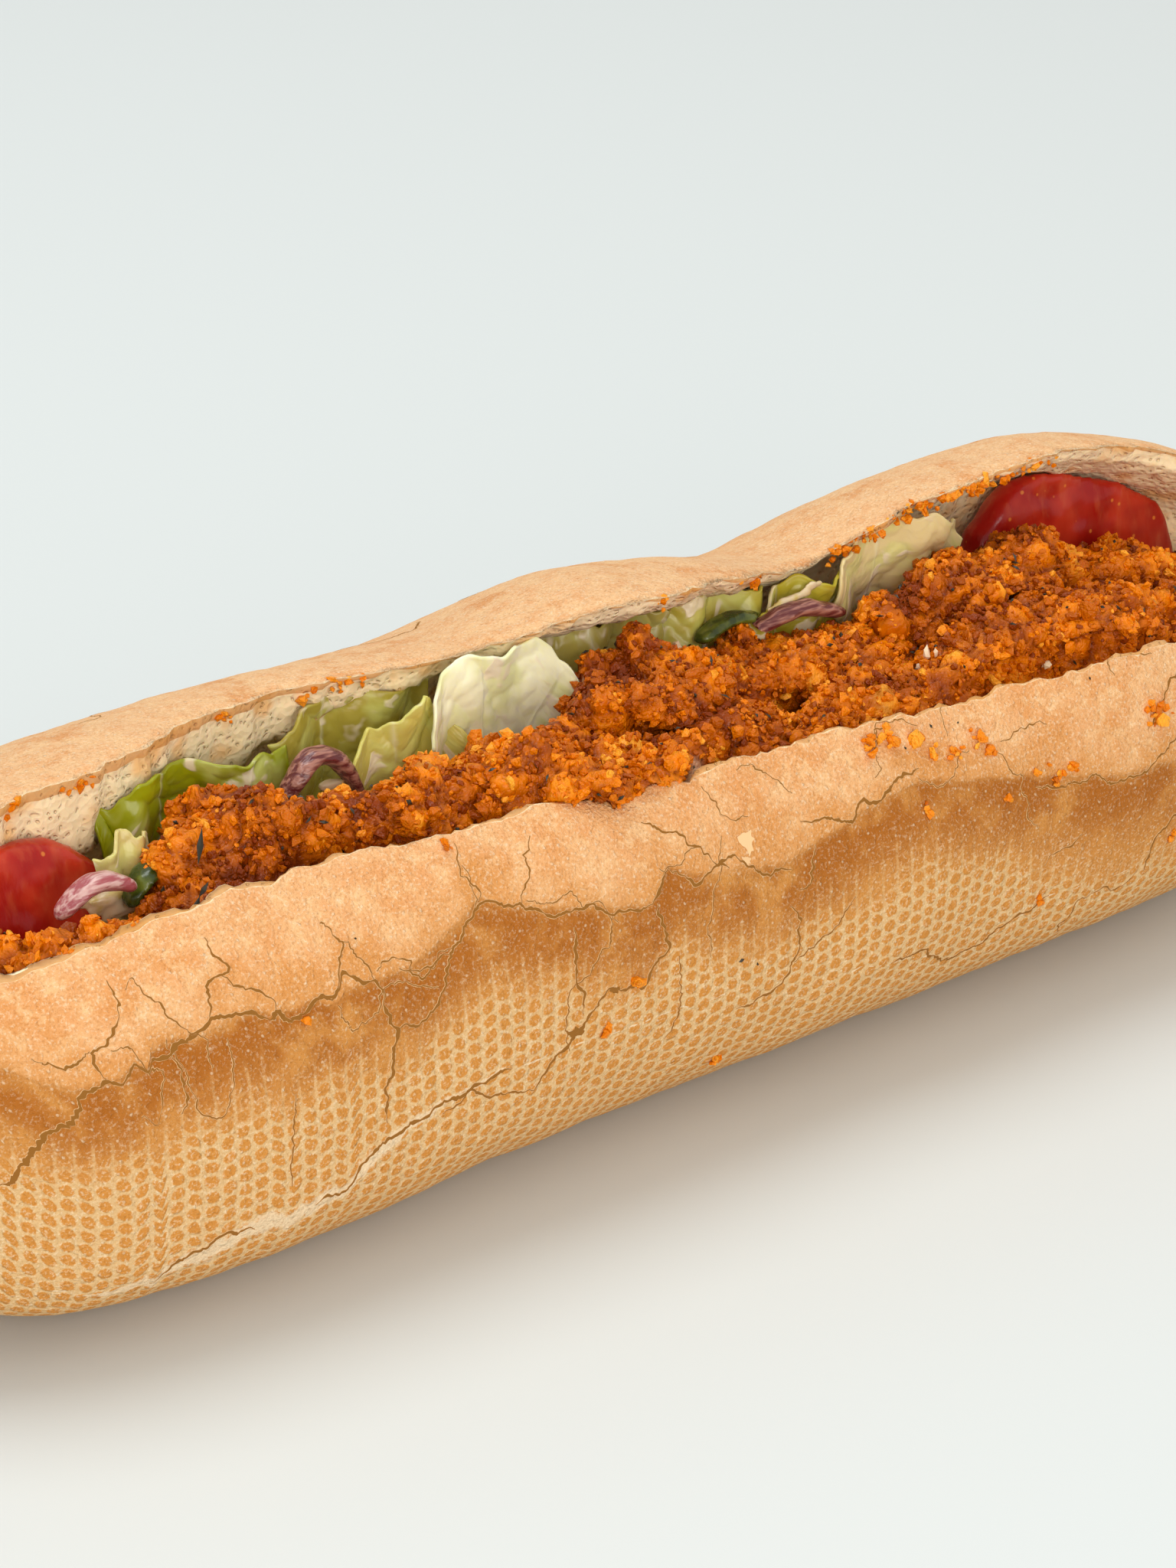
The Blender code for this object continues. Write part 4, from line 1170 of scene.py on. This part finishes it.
def tomato_material():
    """Cut tomato: wet red flesh with paler fibres running up it."""
    g = Graph("tomato")
    place = g.scaled(g.attribute("place").outputs["Vector"], 1000)
    x, y, z = g.split(place)
    fibres = g.noise(g.join(x, y, g.math("MULTIPLY", z, 0.35)), 2.2, 3.0).outputs[0]
    patch = g.noise(place, 7.0, 2.0).outputs[0]
    colour = g.mix(g.step(patch, 0.36, 0.66), (0.360, 0.007, 0.004), (0.520, 0.034, 0.012))
    colour = g.mix(g.math("MULTIPLY", g.step(fibres, 0.50, 0.74), 0.30), colour, (0.640, 0.130, 0.045))
    specks = g.voronoi(place, 2.6).outputs[0]
    colour = g.mix(g.math("MULTIPLY", g.step(specks, 0.16, 0.08), 0.7), colour, (0.78, 0.260, 0.040))
    height = g.math("MULTIPLY", fibres, 0.35)
    return g.surface(
        Base_Color=colour,
        Roughness=0.22,
        Specular_IOR_Level=0.35,
        Subsurface_Weight=0.20,
        Subsurface_Radius=(0.0040, 0.0008, 0.0004),
        Normal=g.bump(height, 0.7),
    )


def onion_material(name, dark, pale):
    g = Graph(name)
    place = g.scaled(g.attribute("place").outputs["Vector"], 1000)
    x, y, z = g.split(place)
    along = g.join(g.math("MULTIPLY", x, 0.3), g.math("MULTIPLY", y, 2.0), g.math("MULTIPLY", z, 2.0))
    lines = g.noise(along, 1.5, 2.0).outputs[0]
    colour = g.mix(g.step(lines, 0.40, 0.64), dark, pale)
    return g.surface(
        Base_Color=colour,
        Roughness=0.28,
        Subsurface_Weight=0.15,
        Subsurface_Radius=(0.0020, 0.0010, 0.0010),
        Normal=g.bump(g.math("MULTIPLY", lines, 0.3)),
    )


def pepper_material():
    g = Graph("pepper")
    place = g.scaled(g.attribute("place").outputs["Vector"], 1000)
    patch = g.noise(place, 2.5, 3.0).outputs[0]
    colour = g.mix(g.step(patch, 0.40, 0.66), (0.030, 0.048, 0.006), (0.12, 0.15, 0.015))
    return g.surface(Base_Color=colour, Roughness=0.22, Normal=g.bump(g.math("MULTIPLY", patch, 0.3)))


def softened(node, material, voxel, wave_mm, wave_size):
    """A frame node as an even, softly uneven skin."""
    mesh = remeshed(node, voxel)
    obj = bpy.data.objects.new(node.name + "_skin", mesh)
    bpy.context.scene.collection.objects.link(obj)
    mesh.materials.clear()
    mesh.materials.append(material)
    mesh.shade_smooth()
    bm = bmesh.new()
    bm.from_mesh(mesh)
    for _ in range(4):
        bmesh.ops.smooth_vert(
            bm, verts=bm.verts, factor=0.5, use_axis_x=True, use_axis_y=True, use_axis_z=True
        )
    bm.to_mesh(mesh)
    bm.free()
    points, outward = points_of(obj), normals_of(obj)
    moved = points + outward * (grain(points, wave_size, 3) * wave_mm * MM)[:, None]
    mesh.vertices.foreach_set("co", moved.ravel())
    mesh.update()
    store(obj, "place", points)
    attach(obj, "root")
    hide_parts(node.name)
    return obj


def sauce_material():
    g = Graph("sauce")
    place = g.scaled(g.attribute("place").outputs["Vector"], 1000)
    patch = g.noise(place, 3.0, 3.0).outputs[0]
    colour = g.mix(g.step(patch, 0.45, 0.70), (0.74, 0.60, 0.38), (0.60, 0.46, 0.14))
    return g.surface(
        Base_Color=colour,
        Roughness=0.25,
        Subsurface_Weight=0.3,
        Subsurface_Radius=(0.0020, 0.0015, 0.0010),
    )


# Dabs of sauce: middle and radius, in mm
SAUCE = (
    (-92, -10, 52.0, 2.0), (-90, -10, 50, 1.8), (-87, -10, 51.0, 1.6), (-85, -9, 53, 1.3), (-51, -3, 54, 1.0),
    (30, 1.2, 57.5, 0.6), (31.3, 1.2, 57.8, 0.8), (32.6, 1.3, 58.1, 0.7), (33.9, 1.3, 58.2, 0.9),
    (35.2, 1.4, 58.0, 0.7), (36.5, 1.4, 58.3, 0.6), (37.8, 1.5, 58.8, 0.8), (39.1, 1.6, 59.0, 0.7),
)


def melted(name, rows, shape, rough, fine, material):
    """Dabs melted together: rows are middle and radius in mm, rough and fine say how lumpy."""
    bm = bmesh.new()
    for x, y, z, r in rows:
        made = bmesh.ops.create_icosphere(bm, subdivisions=4, radius=r * MM)
        for vert in made["verts"]:
            swell = 1 + rough * noise.noise(vert.co * fine + Vector((x, y, z)))
            vert.co = Vector([c * k for c, k in zip(vert.co, shape)]) * swell + mm(x, y, z)
    mesh = bpy.data.meshes.new(name)
    bm.to_mesh(mesh)
    bm.free()
    holder = bpy.data.objects.new(name + "_source", mesh)
    bpy.context.scene.collection.objects.link(holder)
    skin = remeshed(holder, 0.0004)
    bpy.data.objects.remove(holder)
    obj = bpy.data.objects.new(name, skin)
    bpy.context.scene.collection.objects.link(obj)
    skin.materials.clear()
    skin.materials.append(material)
    skin.shade_smooth()
    store(obj, "place", points_of(obj))
    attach(obj, "root")
    return obj


# Stage

FLOOR_COLOUR = (0.70, 0.745, 0.735)
SKY_COLOUR = (1.0, 0.99, 0.97, 1.0)
SKY_STRENGTH = 0.70
LAMP_SIZE = 0.90
# Lamps: name, place, target, watts and colour
LAMPS = (
    ("key", (-0.18, 0.36, 1.38), (0, 0, 0.03), 9.15, (0.96, 1.0, 1.02)),
    ("fill", (-0.50, -1.00, 0.36), (0, 0, 0.04), 7.6, (1.0, 0.92, 0.86)),
)


def floor():
    bpy.ops.mesh.primitive_plane_add(size=8, location=(0, 1.5, -0.0002))
    obj = bpy.context.object
    obj.name = "floor"
    g = Graph("floor")
    surface = g.surface(Base_Color=FLOOR_COLOUR, Roughness=0.35, Specular_IOR_Level=0.4)
    obj.data.materials.append(surface)


def area_light(name, place, target, watts, colour):
    data = bpy.data.lights.new(name, "AREA")
    data.shape = "DISK"
    data.size = LAMP_SIZE
    data.energy = watts
    data.color = colour
    obj = bpy.data.objects.new(name, data)
    obj.location = place
    obj.rotation_euler = (Vector(target) - Vector(place)).to_track_quat("-Z", "Y").to_euler()
    bpy.context.scene.collection.objects.link(obj)


def lights():
    world = bpy.data.worlds.new("world")
    bpy.context.scene.world = world
    world.use_nodes = True
    background = world.node_tree.nodes["Background"]
    background.inputs[0].default_value = SKY_COLOUR
    background.inputs[1].default_value = SKY_STRENGTH
    for lamp in LAMPS:
        area_light(*lamp)


def camera():
    data = bpy.data.cameras.new("camera")
    data.lens = LENS
    data.sensor_width = SENSOR
    data.sensor_height = SENSOR
    data.sensor_fit = "AUTO"
    obj = bpy.data.objects.new("camera", data)
    azimuth, elevation = math.radians(CAMERA_AZIMUTH), math.radians(CAMERA_ELEVATION)
    back = Vector((
        math.sin(azimuth) * math.cos(elevation),
        -math.cos(azimuth) * math.cos(elevation),
        math.sin(elevation),
    ))
    obj.location = CAMERA_AT
    obj.rotation_euler = back.to_track_quat("Z", "Y").to_euler()
    bpy.context.scene.collection.objects.link(obj)
    bpy.context.scene.camera = obj


def main():
    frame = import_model()
    bpy.context.scene.view_settings.view_transform = "Standard"
    nodes = frame["nodes"]
    loaf, crust = bread()
    cracks(crust)
    skin, crumb = chicken_material("coating", True), chicken_material("coating_crumb", False)
    coats = [coat(nodes[f"chicken_{k}"], k, skin) for k in range(1, 10)]
    places = away_from_meat(shown_places([loaf] + coats, CRUMB_COUNT + BIG_CRUMB_COUNT))
    coating_crumbs(places[:CRUMB_COUNT], "coating_crumbs", 0.40, 0.38, crumb)
    coating_crumbs(places[CRUMB_COUNT:], "big_coating_crumbs", 0.62, 0.25, crumb)
    fallen_crumbs(crust, crumb)
    pale_bits(places, pale_material())
    herbs(places, crust, herb_material())
    leaves(leaf_material())
    red, green = tomato_material(), pepper_material()
    # Onions 1 and 2 get a darker purple, partly painted shade; onion 3 keeps the paler sauced colour
    painted_shade_purple = onion_material("onion", (0.120, 0.020, 0.020), (0.40, 0.180, 0.130))
    sauced = onion_material("sauced_onion", (0.380, 0.090, 0.100), (0.66, 0.420, 0.380))
    for k in (1, 2, 3):
        softened(nodes[f"tomato_{k}"], red, 0.0007, 0.5, 4)
        softened(nodes[f"onion_{k}"], sauced if k == 3 else painted_shade_purple, 0.0004, 0.3, 3)
    for k in (1, 2):
        softened(nodes[f"pepper_{k}"], green, 0.0004, 0.3, 3)
    melted("sauce", SAUCE, (1.7, 0.6, 0.8), 0.9, 700, sauce_material())
    floor()
    lights()
    camera()


main()
